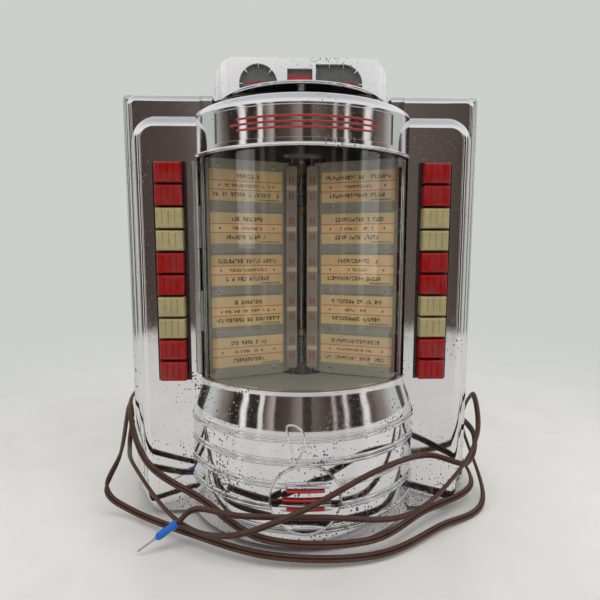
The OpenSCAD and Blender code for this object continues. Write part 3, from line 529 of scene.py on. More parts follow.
class Piece:
    """A mesh under construction in millimetres, which becomes one object that rides on a body."""

    def __init__(self, name: str) -> None:
        """Starts an empty mesh."""
        self.name = name
        self.bm = bmesh.new()

    def copy_node(self, node: Item, whole: bool = True) -> "Piece":
        """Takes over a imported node's mesh, with its points merged.

        Args:
            node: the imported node.
            whole: makes one face of each flat one.

        Returns:
            This piece.
        """
        self.bm.from_mesh(node.data)
        bmesh.ops.scale(self.bm, vec=(1 / MM,) * 3, verts=self.bm.verts)
        bmesh.ops.remove_doubles(self.bm, verts=self.bm.verts, dist=0.002)
        if whole:
            flat = math.radians(0.4)
            bmesh.ops.dissolve_limit(self.bm, angle_limit=flat, verts=self.bm.verts, edges=self.bm.edges)
        return self

    def block(self, low: Point, high: Point, edge: float = 0.0) -> None:
        """Adds a block between two corners.

        Args:
            low: lowest corner.
            high: highest corner.
            edge: radius of its edges.
        """
        verts = bmesh.ops.create_cube(self.bm, size=1.0)["verts"]
        size = [b - a for a, b in zip(low, high)]
        bmesh.ops.scale(self.bm, vec=size, verts=verts)
        bmesh.ops.translate(self.bm, vec=[(a + b) / 2 for a, b in zip(low, high)], verts=verts)
        if edge:
            edges = list({e for v in verts for e in v.link_edges})
            bmesh.ops.bevel(
                self.bm, geom=edges, offset=edge, segments=2, affect="EDGES", profile=0.5, material=-1,
            )

    def cone(self, start: Point, end: Point, radius: float, end_radius: float, sides: int) -> None:
        """Adds a cone between two points.

        Args:
            start: centre of its first end.
            end: centre of its second end.
            radius: radius at the start.
            end_radius: radius at the end.
            sides: faces round it.
        """
        line = Vector(end) - Vector(start)
        verts = bmesh.ops.create_cone(
            self.bm, cap_ends=True, cap_tris=False, segments=sides, radius1=radius, radius2=end_radius,
            depth=line.length,
        )["verts"]
        middle = Matrix.Translation((Vector(start) + Vector(end)) / 2)
        bmesh.ops.transform(self.bm, matrix=middle @ facing(line), verts=verts)

    def dome(self, centre: Point, radius: float, height: float, direction: Point) -> None:
        """Adds a rivet head: half a flattened ball on a surface.

        Args:
            centre: centre of its foot.
            radius: radius of its foot.
            height: how far it stands out.
            direction: the way it stands out.
        """
        verts = bmesh.ops.create_uvsphere(self.bm, u_segments=12, v_segments=6, radius=1.0)["verts"]
        size = Matrix.Diagonal((radius, radius, height, 1.0))
        turn = Matrix.Translation(centre) @ facing(direction)
        bmesh.ops.transform(self.bm, matrix=turn @ size, verts=verts)

    def lathe(self, profile: Sequence[Span], half: float = 180.0, steps: int = 96) -> None:
        """Turns a closed profile about the rotor's axis, centred on straight ahead.

        Args:
            profile: points as radius and height, the last joined to the first.
            half: half the angle turned, 180 for a whole ring.
            steps: steps of the turn.
        """
        start = [self.bm.verts.new((0.0, AXIS_Y - r, z)) for r, z in profile]
        edges = [self.bm.edges.new((a, start[(i + 1) % len(start)])) for i, a in enumerate(start)]
        centre, whole = (0.0, AXIS_Y, 0.0), half >= 180.0
        if not whole:
            turn = Matrix.Rotation(math.radians(-half), 3, "Z")
            bmesh.ops.rotate(self.bm, cent=centre, matrix=turn, verts=start)
        done = bmesh.ops.spin(
            self.bm, geom=start + edges, cent=centre, axis=(0, 0, 1), dvec=(0, 0, 0),
            angle=math.radians(2 * half), steps=steps, use_merge=whole, use_duplicate=False,
        )
        if not whole:
            self.bm.faces.new(start)
            last = [e for e in done["geom_last"] if isinstance(e, bmesh.types.BMEdge)]
            bmesh.ops.edgeloop_fill(self.bm, edges=last)
        bmesh.ops.remove_doubles(self.bm, verts=self.bm.verts, dist=0.0005)
        bmesh.ops.recalc_face_normals(self.bm, faces=self.bm.faces)

    def cut_in_front_of(self, depth: float) -> None:
        """Keeps what lies nearer the front than a depth, and closes the cut."""
        geom = list(self.bm.verts) + list(self.bm.edges) + list(self.bm.faces)
        bmesh.ops.bisect_plane(
            self.bm, geom=geom, dist=0.0001, plane_co=(0, depth, 0), plane_no=(0, 1, 0), clear_outer=True,
        )
        bmesh.ops.holes_fill(self.bm, edges=[e for e in self.bm.edges if e.is_boundary], sides=0)
        bmesh.ops.recalc_face_normals(self.bm, faces=self.bm.faces)

    def wire(
        self, points: Sequence[Point], radius: float | Sequence[float], closed: bool = False, sides: int = 8,
    ) -> None:
        """Adds a round wire along points.

        Args:
            points: points of its middle line.
            radius: its radius, or its radius at each point.
            closed: joins the last point to the first.
            sides: faces round it.
        """
        radii = [radius] * len(points) if isinstance(radius, float) else radius
        ends = [points[-1], *points, points[0]] if closed else [points[0], *points, points[-1]]
        rings = []
        for i, (before, point, after) in enumerate(zip(ends, points, ends[2:])):
            heading = facing(Vector(after) - Vector(before))
            ring = bmesh.ops.create_circle(self.bm, cap_ends=False, segments=sides, radius=radii[i])["verts"]
            bmesh.ops.transform(self.bm, matrix=Matrix.Translation(point) @ heading, verts=ring)
            rings.append(list({e for v in ring for e in v.link_edges}))
        for a, b in zip(rings, rings[1:] + rings[:1] if closed else rings[1:]):
            bmesh.ops.bridge_loops(self.bm, edges=a + b)
        if not closed:
            for ring in (rings[0], rings[-1]):
                bmesh.ops.edgeloop_fill(self.bm, edges=ring)
        bmesh.ops.recalc_face_normals(self.bm, faces=self.bm.faces)


@dataclass
class Workshop:
    """What every sub-assembly needs.

    Args:
        nodes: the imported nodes.
        materials: the material store.
    """

    nodes: dict[str, Item]
    materials: Materials

    def skin(
        self, node: str, body: str, choice: Palette, edge: float = 0.0, smooth: float = 30.0,
        whole: bool = True,
    ) -> Item:
        """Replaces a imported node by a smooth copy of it.

        Args:
            node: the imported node.
            body: the body it rides on.
            choice: its finish.
            edge: radius of the bevel on its sharp edges.
            smooth: angle in degrees below which edges look round.
            whole: makes one face of each flat one.

        Returns:
            The copy.
        """
        piece = Piece(node + "_skin").copy_node(self.nodes[node], whole)
        return self.finish(piece, body, choice, (node,), smooth, edge)

    def finish(
        self, piece: Piece, body: str, choice: Palette, replaces: Iterable[str] = (),
        smooth: float = 30.0, edge: float = 0.0, extra: Iterable[Palette] = (),
    ) -> Item:
        """Makes the object of a piece.

        Args:
            piece: the piece.
            body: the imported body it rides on.
            choice: its finish.
            replaces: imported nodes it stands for.
            smooth: angle in degrees below which edges look round.
            edge: radius in millimetres of a bevel on its sharp edges.
            extra: further finishes for faces with a material index.

        Returns:
            The object.
        """
        bmesh.ops.scale(piece.bm, vec=(MM,) * 3, verts=piece.bm.verts)
        mesh = bpy.data.meshes.new(piece.name)
        piece.bm.to_mesh(mesh)
        piece.bm.free()
        for item in (choice, *extra):
            mesh.materials.append(self.materials.of(item))
        mesh.shade_smooth()
        mesh.set_sharp_from_angle(angle=math.radians(smooth))
        made = add_object(piece.name, mesh)
        if edge:
            bevel = made.modifiers.new("edges", "BEVEL")
            bevel.width = edge * MM
            bevel.segments = 2
            bevel.limit_method = "ANGLE"
            bevel.angle_limit = math.radians(38)
            bevel.use_clamp_overlap = True
        made.modifiers.new("normals", "WEIGHTED_NORMAL").keep_sharp = True
        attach(made, body)
        for node in replaces:
            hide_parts(node)
        LOG.info("%s rides on %s", piece.name, body)
        return made


# --- camera, light and floor


@dataclass(frozen=True)
class Studio:
    """Camera, lamps, floor and background.

    Args:
        eye: the camera's place in metres.
        lens: focal length in millimetres on a 36 mm sensor.
        pitch: degrees that the camera looks down.
        yaw: degrees that it looks to the right.
        wall_colour: colour of the background.
        fade: distances over which the table passes into the background.
        edge: distances over which it ends in a reflection.
        bands: what the room in front looks like in a reflection, as place across and brightness.
    """

    eye: Point = (-0.013, -0.419, 0.227)
    lens: float = 27.6
    pitch: float = 6.5
    yaw: float = 1.6
    wall_colour: Colour = (0.60, 0.625, 0.59)
    fade: Span = (0.34, 0.95)
    edge: Span = (0.95, 1.05)
    bands: tuple[Span, ...] = (
        (-1.0, 0.30), (-0.93, 0.03), (-0.87, 0.03), (-0.85, 0.95), (-0.81, 0.95), (-0.79, 0.04),
        (-0.67, 0.03), (-0.65, 0.80), (-0.61, 0.85), (-0.59, 0.05), (-0.49, 0.42), (-0.46, 0.45),
        (-0.43, 0.05), (-0.22, 0.09), (-0.12, 0.22), (-0.03, 0.30), (0.0, 0.05), (0.12, 0.05),
        (0.15, 0.16), (0.45, 0.05), (0.47, 0.50), (0.50, 0.50), (0.52, 0.04), (0.61, 0.05),
        (0.63, 0.85), (0.66, 0.80), (0.68, 0.04), (0.83, 0.03), (0.85, 0.90), (0.89, 0.9),
        (0.91, 0.05), (1.0, 0.30),
    )

    def set_camera(self) -> None:
        """Places the camera where the photograph was taken from."""
        data = bpy.data.cameras.new("camera")
        data.lens, data.sensor_width = self.lens, 36.0
        data.clip_start = 0.01
        camera = add_object("camera", data)
        camera.location = self.eye
        camera.rotation_euler = (math.radians(90.0 - self.pitch), 0.0, math.radians(-self.yaw))
        bpy.context.scene.camera = camera

    def lamp(self, name: str, place: Point, target: Point, size: Span, power: float) -> None:
        """Adds a soft lamp.

        Args:
            name: its name.
            place: its place in metres.
            target: the point it faces.
            size: its width and height in metres.
            power: its power in watts.
        """
        data = bpy.data.lights.new(name, "AREA")
        data.shape = "RECTANGLE"
        data.size, data.size_y = size
        data.energy = power
        lamp = add_object(name, data)
        lamp.visible_glossy = False
        lamp.location = place
        lamp.rotation_euler = (Vector(target) - Vector(place)).to_track_quat("-Z", "Y").to_euler()

    def light(self) -> None:
        """Hangs the lamps and sets the room that metal reflects."""
        self.lamp("lamp_high", (0.15, -0.55, 1.35), (0.0, 0.0, 0.15), (1.3, 0.7), 9.0)
        self.lamp("lamp_left", (-1.15, -0.75, 0.65), (0.0, 0.0, 0.18), (0.5, 0.9), 5.0)
        self.lamp("lamp_right", (1.2, -0.45, 0.55), (0.0, 0.0, 0.18), (0.5, 0.9), 4.0)
        self.lamp("lamp_back", (0.0, 1.2, 1.1), (0.0, 0.0, 0.2), (1.2, 0.6), 5.0)
        world = bpy.data.worlds.new("room")
        world.use_nodes = True
        world.node_tree.nodes.clear()
        bpy.context.scene.world = world
        graph = Graph(world.node_tree)
        where = graph.add("ShaderNodeTexCoord").outputs["Generated"]
        x, y, z = graph.add("ShaderNodeSeparateXYZ", Vector=where).outputs
        bands = graph.add("ShaderNodeValToRGB", Fac=graph.ramp(x, -1.0, 1.0))
        stops = bands.color_ramp.elements
        stops.remove(stops[1])
        for k, (spot, level) in enumerate(self.bands):
            stop = stops[0] if k == 0 else stops.new((spot + 1) / 2)
            stop.position = (spot + 1) / 2
            stop.color = (level, level * (0.74 + 0.24 * level), level * (0.62 + 0.34 * level), 1.0)
        behind = graph.ramp(y, -0.12, 0.10)
        walls = graph.blend(behind, bands.outputs[0], (0.55, 0.58, 0.55))
        walls = graph.blend(graph.ramp(z, 0.35, 0.42), walls, (0.92, 0.92, 0.92))
        walls = graph.blend(graph.ramp(z, 0.55, 0.9), walls, (0.60, 0.60, 0.61))
        path = graph.add("ShaderNodeLightPath")
        soft = graph.blend(path.outputs["Is Glossy Ray"], (0.50, 0.505, 0.50), walls)
        shown = graph.blend(path.outputs["Is Camera Ray"], soft, self.wall_colour)
        back = graph.add("ShaderNodeBackground", Strength=1.0, Color=shown)
        graph.add("ShaderNodeOutputWorld", Surface=back.outputs[0])

    def floor(self) -> None:
        """Lays the pale table."""
        mesh = bpy.data.meshes.new("table")
        bm = bmesh.new()
        bmesh.ops.create_grid(bm, x_segments=1, y_segments=1, size=4.0)
        bm.to_mesh(mesh)
        bm.free()
        floor = add_object("table", mesh)
        material = bpy.data.materials.new("table_top")
        material.use_nodes = True
        graph = Graph(material.node_tree)
        shader = material.node_tree.nodes["Principled BSDF"]
        place = graph.place()
        veins = graph.ramp(graph.noise(14.0, 6.0, 0.6, at=place), 0.40, 0.62)
        graph.put(shader, "Base Color", graph.blend(veins, (0.725, 0.705, 0.68), (0.69, 0.672, 0.648)))
        graph.put(shader, "Roughness", 0.32)
        wall = graph.add("ShaderNodeEmission", Strength=1.0, Color=(*self.wall_colour, 1.0))
        reach = graph.add("ShaderNodeVectorMath", operation="LENGTH")
        graph.put(reach, 0, place)
        path = graph.add("ShaderNodeLightPath").outputs
        far = graph.times(graph.ramp(reach.outputs["Value"], *self.fade), path["Is Camera Ray"])
        edge = graph.times(graph.ramp(reach.outputs["Value"], *self.edge), path["Is Glossy Ray"])
        clear = graph.add("ShaderNodeBsdfTransparent")
        last = shader.outputs[0]
        for share, other in ((edge, clear), (far, wall)):
            mix = graph.add("ShaderNodeMixShader")
            for index, value in enumerate((share, last, other.outputs[0])):
                graph.put(mix, index, value)
            last = mix.outputs[0]
        graph.put(material.node_tree.nodes["Material Output"], "Surface", last)
        mesh.materials.append(material)


# --- cord


@dataclass
class CordSet:
    """The flat twin cord, its gland and its crimped end.

    Args:
        shop: the workshop.
        route: points of the cord's middle line, in millimetres.
        width: width of the flat cord.
        thick: thickness of the flat cord.
        length: length of the cord in metres.
        sleeve_r: radius of the crimp's sleeve.
        sleeve_l: length of the sleeve.
        pin_r: radius of its pin.
        pin_l: length of its pin.
        lean: degrees that the flat cord lies tilted about its line.
    """

    shop: Workshop
    route: list[Point] = field(default_factory=lambda: [
        (-122, 108, 30), (-128, 123, 38), (-160, 100, 66), (-156, -6, 90), (-130, -55, 54),
        (-80, -77, 31), (-30, -111, 20), (44, -108, 15), (98, -69, 14), (152, -30, 15),
        (160, 34, 24), (160, 32, 54), (155, -24, 60), (140, -50, 45), (100, -66, 60),
        (54, -101, 66), (-6, -117, 43), (-58, -110, 22), (-100, -84, 20), (-142, -46, 44),
        (-163, 4, 40), (-165, 20, 60), (-162, 4, 80), (-157, -34, 52), (-166, -46, 24),
        (-144, -53, 9), (-90, -85, 9), (-24, -114, 9), (50, -111, 6), (108, -77, 5),
        (160, -38, 6), (167, 34, 46), (161, -4, 90), (148, -48, 70), (120, -73, 45),
        (74, -100, 29), (10, -110, 35), (-46, -105, 34), (-82, -90, 31), (-96, -93, 22),
    ])
    width: float = 5.4
    thick: float = 3.0
    length: float = 2.156
    sleeve_r: float = 3.2
    sleeve_l: float = 18.0
    pin_r: float = 0.8
    pin_l: float = 16.0
    lean: float = 62.0

    def profile(self) -> Item:
        """Outline of the twin cord: two round cores side by side with a groove between.

        Returns:
            A hidden curve for the cord's bevel.
        """
        data = bpy.data.curves.new("cord_profile", "CURVE")
        data.dimensions = "2D"
        core = self.thick / 2
        reach = self.width / 2 - core
        right = [(reach + core * math.cos(a), core * math.sin(a)) for a in spread(math.radians(145), 7)]
        left = [(-x, -y) for x, y in right]
        spline = data.splines.new("POLY")
        points = right + left
        spline.points.add(len(points) - 1)
        for point, (x, y) in zip(spline.points, points):
            point.co = (x * MM, y * MM, 0.0, 1.0)
        spline.use_cyclic_u = True
        outline = add_object("cord_profile", data)
        outline.hide_render = outline.hide_viewport = True
        return outline

    def lead(self) -> Item:
        """The cord itself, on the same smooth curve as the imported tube.

        Returns:
            The cord.
        """
        data = bpy.data.curves.new("twin_cord", "CURVE")
        data.dimensions = "3D"
        data.resolution_u = data.render_resolution_u = 10
        data.twist_mode = "Z_UP"
        spline = data.splines.new("BEZIER")
        spline.bezier_points.add(len(self.route) - 1)
        points = [Vector(p) for p in self.route]
        ends = [2 * points[0] - points[1], *points, 2 * points[-1] - points[-2]]
        for i, point in enumerate(spline.bezier_points):
            reach = (ends[i + 2] - ends[i]) / 6
            point.handle_left_type = point.handle_right_type = "FREE"
            point.co = points[i] * MM
            point.handle_left = (points[i] - reach) * MM
            point.handle_right = (points[i] + reach) * MM
            point.tilt = math.radians(self.lean)
        data.bevel_mode = "OBJECT"
        data.bevel_object = self.profile()
        data.use_fill_caps = True
        data.materials.append(self.shop.materials.of(Palette.CORD))
        lead = add_object("twin_cord", data)
        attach(lead, "root")
        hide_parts("cord")
        return lead

    def terminal(self) -> list[Item]:
        """The sleeve with its crimps, and the pin.

        Returns:
            Both pieces.
        """
        tip = Vector(self.route[-1])
        heading = (tip - Vector(self.route[-2])).normalized()
        sleeve = Piece("crimp_sleeve")
        shape = (
            (0.0, 0.80), (1.2, 1.0), (5.0, 1.0), (6.0, 0.82), (9.5, 0.82), (10.5, 0.95), (16.5, 0.88),
            (self.sleeve_l, 0.52),
        )
        sleeve.wire([tip + heading * d for d, _ in shape], [self.sleeve_r * r for _, r in shape], sides=24)
        pin = Piece("crimp_pin")
        foot, end = self.sleeve_l - 1.0, self.sleeve_l + self.pin_l
        shape = ((foot, 1.7), (foot + 3.0, 1.5), (foot + 3.1, 1.0), (end - 1.5, 1.0), (end, 0.5))
        pin.wire([tip + heading * d for d, _ in shape], [self.pin_r * r for _, r in shape], sides=24)
        return [
            self.shop.finish(sleeve, "root", Palette.SLEEVE, ("crimp_terminal",), 40.0),
            self.shop.finish(pin, "root", Palette.STEEL, (), 40.0),
        ]

    def build(self) -> None:
        lead = self.lead()
        fittings = self.terminal()
        self.shop.skin("cord_gland", "root", Palette.GLAND, 0.4)
        LOG.info("cord, %d points, %.3f m", len(self.route), self.length)


# --- castings


@dataclass
class Castings:
    """The case, the wings, the barrel and their fittings.

    Args:
        shop: the workshop.
        skin_r: radius of the barrel's skin.
        rim_r: radius of its rim.
        rim_z: height of its rim.
        flare: height of the flare below the rim.
        low_z: height of its foot.
        wall: thickness of its wall.
        rib_z: heights of the rib pairs.
        rib_out: how far a rib stands out.
        rib_half: half the height of a rib.
        rib_gap: distance of a rib from its pair's middle.
        medal_z: height of the medallion's centre.
        medal_r: radius of the medallion.
    """

    shop: Workshop
    skin_r: float = 104.8
    rim_r: float = 98.0
    rim_z: float = 122.0
    flare: float = 32.0
    low_z: float = 5.0
    wall: float = 2.2
    rib_z: tuple[float, ...] = (19.0, 36.5, 54.0, 71.5, 89.0)
    rib_out: float = 1.2
    rib_half: float = 1.25
    rib_gap: float = 1.6
    medal_z: float = 43.0
    medal_r: float = 27.0

    def radius_at(self, z: float) -> float:
        """Radius of the barrel's skin at a height."""
        if z < self.rim_z - self.flare:
            return self.skin_r
        turn = (1 - math.cos(math.pi * (self.rim_z - z) / self.flare)) / 2
        return self.rim_r + (self.skin_r - self.rim_r) * turn

    def barrel_profile(self) -> list[Span]:
        """Closed profile of the barrel's wall, with its ribs.

        Returns:
            Points as radius and height.
        """
        outer = [(self.skin_r - 0.6, self.low_z), (self.skin_r, self.low_z + 0.6)]
        for z in self.rib_z:
            for centre in (z - self.rib_gap, z + self.rib_gap):
                foot = self.radius_at(centre) - 0.15
                for a in (math.pi * i / 8 for i in range(9)):
                    outer.append((foot + self.rib_out * math.sin(a), centre - self.rib_half * math.cos(a)))
        top = [self.rim_z - self.flare + 1.8 + (self.flare - 2.6) * i / 16 for i in range(17)]
        outer += [(self.radius_at(z), z) for z in top]
        roll, inside = 0.8, self.rim_r - self.wall
        bead = [
            (self.rim_r - 0.5 + roll * math.cos(a), self.rim_z - roll + roll * math.sin(a))
            for a in (0.0, 0.5, 1.0, math.pi / 2)
        ]
        shelf_r, shelf_top, shelf_low = 88.8, 113.5, 111.3
        inner = [(inside, self.rim_z), (inside, shelf_top), (shelf_r, shelf_top), (shelf_r, shelf_low)]
        inner += [(self.radius_at(z) - self.wall, z) for z in (shelf_low, 106.0, 98.0, 90.0)]
        inner += [(self.skin_r - self.wall, self.low_z)]
        return outer + bead + inner

    def on_barrel(self, x: float, z: float, out: float) -> Point:
        """A point that stands out from the barrel's skin at X and Z."""
        r = self.radius_at(z) + out
        return (x, AXIS_Y - math.sqrt(r * r - x * x), z)

    def medallion(self) -> None:
        """The raised disc with its rim, drop and three plain bars."""
        disc = Piece("medallion")
        done = bmesh.ops.create_circle(disc.bm, cap_ends=True, segments=72, radius=self.medal_r)
        face = done["verts"][0].link_faces[0]
        for step in (2.0, 6.0, 8.0, 7.0):
            bmesh.ops.inset_region(disc.bm, faces=[face], thickness=step, use_even_offset=True)
        for vert in disc.bm.verts:
            vert.co = self.on_barrel(vert.co.x, vert.co.y + self.medal_z, 1.35)
        bmesh.ops.recalc_face_normals(disc.bm, faces=disc.bm.faces)
        rim = [e for e in disc.bm.edges if e.is_boundary]
        skirt = bmesh.ops.extrude_edge_only(disc.bm, edges=rim)["geom"]
        for vert in (v for v in skirt if isinstance(v, bmesh.types.BMVert)):
            vert.co = self.on_barrel(vert.co.x, vert.co.z, -0.4)
        bmesh.ops.holes_fill(disc.bm, edges=[e for e in disc.bm.edges if e.is_boundary], sides=0)
        bmesh.ops.recalc_face_normals(disc.bm, faces=disc.bm.faces)
        self.shop.finish(disc, "root", Palette.CASTING, (), 40.0)
        trim, wire_r, reach = Piece("medallion_trim"), 0.8, self.medal_r - 0.5
        ring = [math.radians(5 * i) for i in range(72)]
        edge = [self.on_barrel(reach * math.sin(a), self.medal_z + reach * math.cos(a), 1.4) for a in ring]
        trim.wire(edge, wire_r, True)
        tip = (-7.5, self.medal_z + self.medal_r + 1.0)
        outline = [
            (0.0, 0.0), (-2.4, 7.9), (-4.2, 15.7), (-5.9, 23.6), (-6.6, 26.6), (-4.9, 28.4), (-2.2, 28.6),
            (0.8, 27.8), (3.9, 25.5), (6.2, 22.0), (7.0, 18.0), (6.6, 13.5), (5.0, 8.2), (2.6, 3.6),
        ]
        trim.wire([self.on_barrel(tip[0] + u, tip[1] + v, 0.5) for u, v in outline], wire_r, True)
        trim.wire([self.on_barrel(tip[0] + 0.5 * i, tip[1] - i, 1.2) for i in range(6)], 0.55)
        self.shop.finish(trim, "root", Palette.CASTING, (), 60.0)
        bars = Piece("medallion_bars")
        for height, reach in ((7.0, 14.0), (0.0, 17.0), (-7.0, 14.0)):
            bars.wire([self.on_barrel(x, self.medal_z + height, 1.3) for x in spread(reach, 16)], 1.1)
        self.shop.finish(bars, "root", Palette.FLAG, (), 60.0)

    def build(self) -> None:
        """Dresses the case, the wings and the barrel."""
        self.shop.skin("case", "root", Palette.CASE, 0.35)
        self.shop.skin("front_casting", "root", Palette.CASTING, 0.5)
        barrel = Piece("barrel_skin")
        barrel.lathe(self.barrel_profile(), 66.0, 110)
        barrel.cut_in_front_of(WING_Y)
        self.shop.finish(barrel, "root", Palette.CASTING, ("barrel_front",), 50.0)
        self.medallion()
        # The ledge's colour holds painted shade.
        self.shop.skin("window_ledge", "root", Palette.CREAM, 0.3)
        for node, choice in (
            ("back_plate", Palette.ZINC), ("feet", Palette.FOOT), ("back_screws", Palette.SCREW),
            ("cash_box", Palette.BOX), ("transformer", Palette.CORE), ("credit_unit", Palette.STEEL),
            ("coin_chute", Palette.STEEL), ("coin_rejector", Palette.STEEL), ("lamps", Palette.TUBE),
        ):
            self.shop.skin(node, "root", choice, 0.2)


# --- keys


@dataclass
class Keyboard:
    """Both banks of keys with their frames and guides.

    Args:
        shop: the workshop.
        count: keys in a bank.
    """

    shop: Workshop
    count: int = 10

    def build(self) -> None:
        """Dresses every key, in pairs of red and ivory from the top."""
        self.shop.skin("key_frames", "root", Palette.BLACK, 0.25)
        self.shop.skin("key_guides", "root", Palette.PHENOLIC, 0.2)
        for side in Side:
            for i in range(1, self.count + 1):
                node = f"key_{side.name.lower()}_{i}"
                self.shop.skin(node, node, Palette.RED if i % 4 in (1, 2) else Palette.IVORY, 0.35, 24.0)


# --- rotor and leaves


@dataclass
class Rotor:
    """The page wheel, the shaft with its carriers, and six title leaves.

    Args:
        shop: the workshop.
        pin_r: radius of the circle of leaf pins.
        pins: angles of the leaf pins from straight ahead.
        leaves: angles of the leaves from straight ahead.
        low: height of a leaf's lower edge.
        high: height of a leaf's upper edge.
        strip_z: heights of the strips' centres.
        strip_x: start and end of a strip along the leaf.
        strip_h: height of a strip.
        plate: thickness of a leaf.
        rivet_z: heights of the rivets, the first four between strips.
        rivet: radius and height of a rivet.
        column_x: start and end of the number column.
        springs: lower and upper end of each spring on the shaft.
        spring_r: radius of a spring.
        pitch: rise of one turn of a spring.
        collars: lower and upper end of each collar.
    """

    shop: Workshop
    pin_r: float = 17.0
    pins: tuple[float, ...] = (30.0, 90.0, 150.0, -150.0, -90.0, -30.0)
    leaves: tuple[float, ...] = (70.0, 120.0, 170.0, -170.0, -120.0, -70.0)
    low: float = 117.0
    high: float = 299.0
    strip_z: tuple[float, ...] = (138.0, 173.0, 208.0, 243.0, 278.0)
    strip_x: Span = (9.5, 71.5)
    strip_h: float = 25.4
    plate: float = 1.6
    rivet_z: tuple[float, ...] = (155.5, 190.5, 225.5, 260.5, 121.3, 294.7)
    rivet: Span = (1.5, 0.6)
    column_x: Span = (-3.4, 6.6)
    springs: tuple[Span, ...] = ((121.0, 146.0), (264.0, 290.0))
    spring_r: float = 5.6
    pitch: float = 2.2
    collars: tuple[Span, ...] = ((112.0, 120.0), (147.0, 153.0), (257.0, 263.0), (291.0, 300.0))

    def place(self, i: int) -> Matrix:
        """Matrix from a leaf's own frame, X along it, to the model's."""
        a = math.radians(self.pins[i])
        pin = Matrix.Translation(round_axis(self.pin_r, a, 0.0))
        return pin @ Matrix.Rotation(math.radians(self.leaves[i] - 90.0), 4, "Z")

    def map_strips(self, piece: Piece, i: int) -> None:
        """Marks a leaf's strips with their own material and map.

        Args:
            piece: the leaf's copy.
            i: number of the leaf.
        """
        layer = piece.bm.loops.layers.uv.new("print")
        back = self.place(i).inverted()
        half = self.plate / 2
        for face in piece.bm.faces:
            spots = [back @ loop.vert.co for loop in face.loops]
            if min(abs(p.y) for p in spots) < half + 0.02 or min(p.x for p in spots) < self.strip_x[0] - 0.05:
                continue
            tall = max(p.z for p in spots) - min(p.z for p in spots)
            if tall < 20.0 and max(abs(p.y) for p in spots) > half + 0.45:
                continue
            middle = sum(p.z for p in spots) / len(spots)
            row = min(range(5), key=lambda k: abs(self.strip_z[k] - middle))
            if abs(self.strip_z[row] - middle) > self.strip_h / 2 + 0.1:
                continue
            face.material_index = 1
            outside = 1 if spots[0].y > 0 else -1
            seed = 1 + row + 5 * i + (30 if outside > 0 else 0)
            for loop, p in zip(face.loops, spots):
                along = (p.x - self.strip_x[0]) / (self.strip_x[1] - self.strip_x[0])
                along = along if outside < 0 else 1 - along
                across = seed + min(max(along, 0.001), 0.999)
                loop[layer].uv = (across, (p.z - self.strip_z[row]) / self.strip_h + 0.5)

    def leaf(self, i: int) -> None:
        """One leaf with its strips, rivets and number column.

        Args:
            i: number of the leaf, from 0.
        """
        node = f"leaf_{i + 1}"
        sheet = Piece(node + "_skin").copy_node(self.shop.nodes[node])
        self.map_strips(sheet, i)
        self.shop.finish(sheet, node, Palette.LEAF, (node,), extra=(Palette.PAPER,))
        rivets = Piece(node + "_rivets")
        start, end = self.strip_x
        for out in (-1, 1):
            face, slot = out * (self.plate / 2 + 0.45), out * (self.plate / 2 + 0.66)
            for z in self.rivet_z:
                for x in (start + 8.0, end - 7.0):
                    rivets.dome((x, face, z), *self.rivet, (0, out, 0))
            for z in self.rivet_z[:4]:
                rivets.block((start + 3.0, slot - 0.15, z - 3.6), (end - 2.0, slot + 0.15, z - 3.1))
        bmesh.ops.transform(rivets.bm, matrix=self.place(i), verts=rivets.bm.verts)
        self.shop.finish(rivets, node, Palette.SPRING, (), 50.0)
        column = Piece(node + "_numbers")
        depth = -2.75 if self.leaves[i] > 0 else 2.75
        start, end = self.column_x
        column.block((start, depth - 0.2, self.low + 3), (end, depth + 0.2, self.high - 3))
        layer = column.bm.loops.layers.uv.new("print")
        foot, pitch = self.strip_z[0] - 17.5, self.strip_z[1] - self.strip_z[0]
        for face in column.bm.faces:
            for loop in face.loops:
                spot = loop.vert.co
                loop[layer].uv = ((spot.x - start) / (end - start), (spot.z - foot) / pitch)
        bmesh.ops.transform(column.bm, matrix=self.place(i), verts=column.bm.verts)
        self.shop.finish(column, node, Palette.NUMBERS)

    def spine(self) -> None:
        """Springs and collars on the shaft that show between the front leaves."""
        coils = Piece("spine_springs")
        for low, high in self.springs:
            count = int((high - low) / self.pitch) * 14
            coils.wire([
                round_axis(self.spring_r, math.pi / 2 + 2 * math.pi * k / 14, low + (high - low) * k / count)
                for k in range(count + 1)
            ], 0.7, sides=6)
        self.shop.finish(coils, "rotor", Palette.SPRING, (), 60.0)
        collars, inner, outer, edge = Piece("spine_collars"), 4.0, 8.0, 0.4
        for low, high in self.collars:
            collars.lathe([
                (inner, low), (outer - edge, low), (outer, low + edge),
                (outer, high - edge), (outer - edge, high), (inner, high),
            ], steps=48)
        self.shop.finish(collars, "rotor", Palette.BRASS, (), 40.0)

    def build(self) -> None:
        """Dresses the rotor and the leaves."""
        wheel = Piece("page_wheel_skin")
        turns = [math.radians(15 * k - 90) for k in range(13)]
        rim = [(70.6 + 1.4 * math.cos(a), 347.6 + 1.4 * math.sin(a)) for a in turns]
        crown = [(66.0, 349.0), (64.5, 348.6), (24.0, 348.6), (22.0, 349.0), (4.0, 349.0)]
        hub = [(4.0, 341.7), (11.5, 341.7), (12.0, 342.2), (12.0, 346.2)]
        wheel.lathe(hub + rim + crown, steps=144)
        self.shop.finish(wheel, "rotor", Palette.CASE, ("page_wheel",), 40.0)
        for node, body, choice in (
            ("rotor_shaft", "rotor", Palette.STEEL), ("leaf_carriers", "rotor", Palette.STEEL),
            ("leaf_pins", "rotor", Palette.SPRING), ("wheel_well", "root", Palette.WELL),
            ("rotor_bracket", "root", Palette.STEEL), ("detent_arm", "root", Palette.SPRING),
        ):
            self.shop.skin(node, body, choice, 0.15)
        self.spine()
        for i in range(6):
            self.leaf(i)


# --- window door and crest


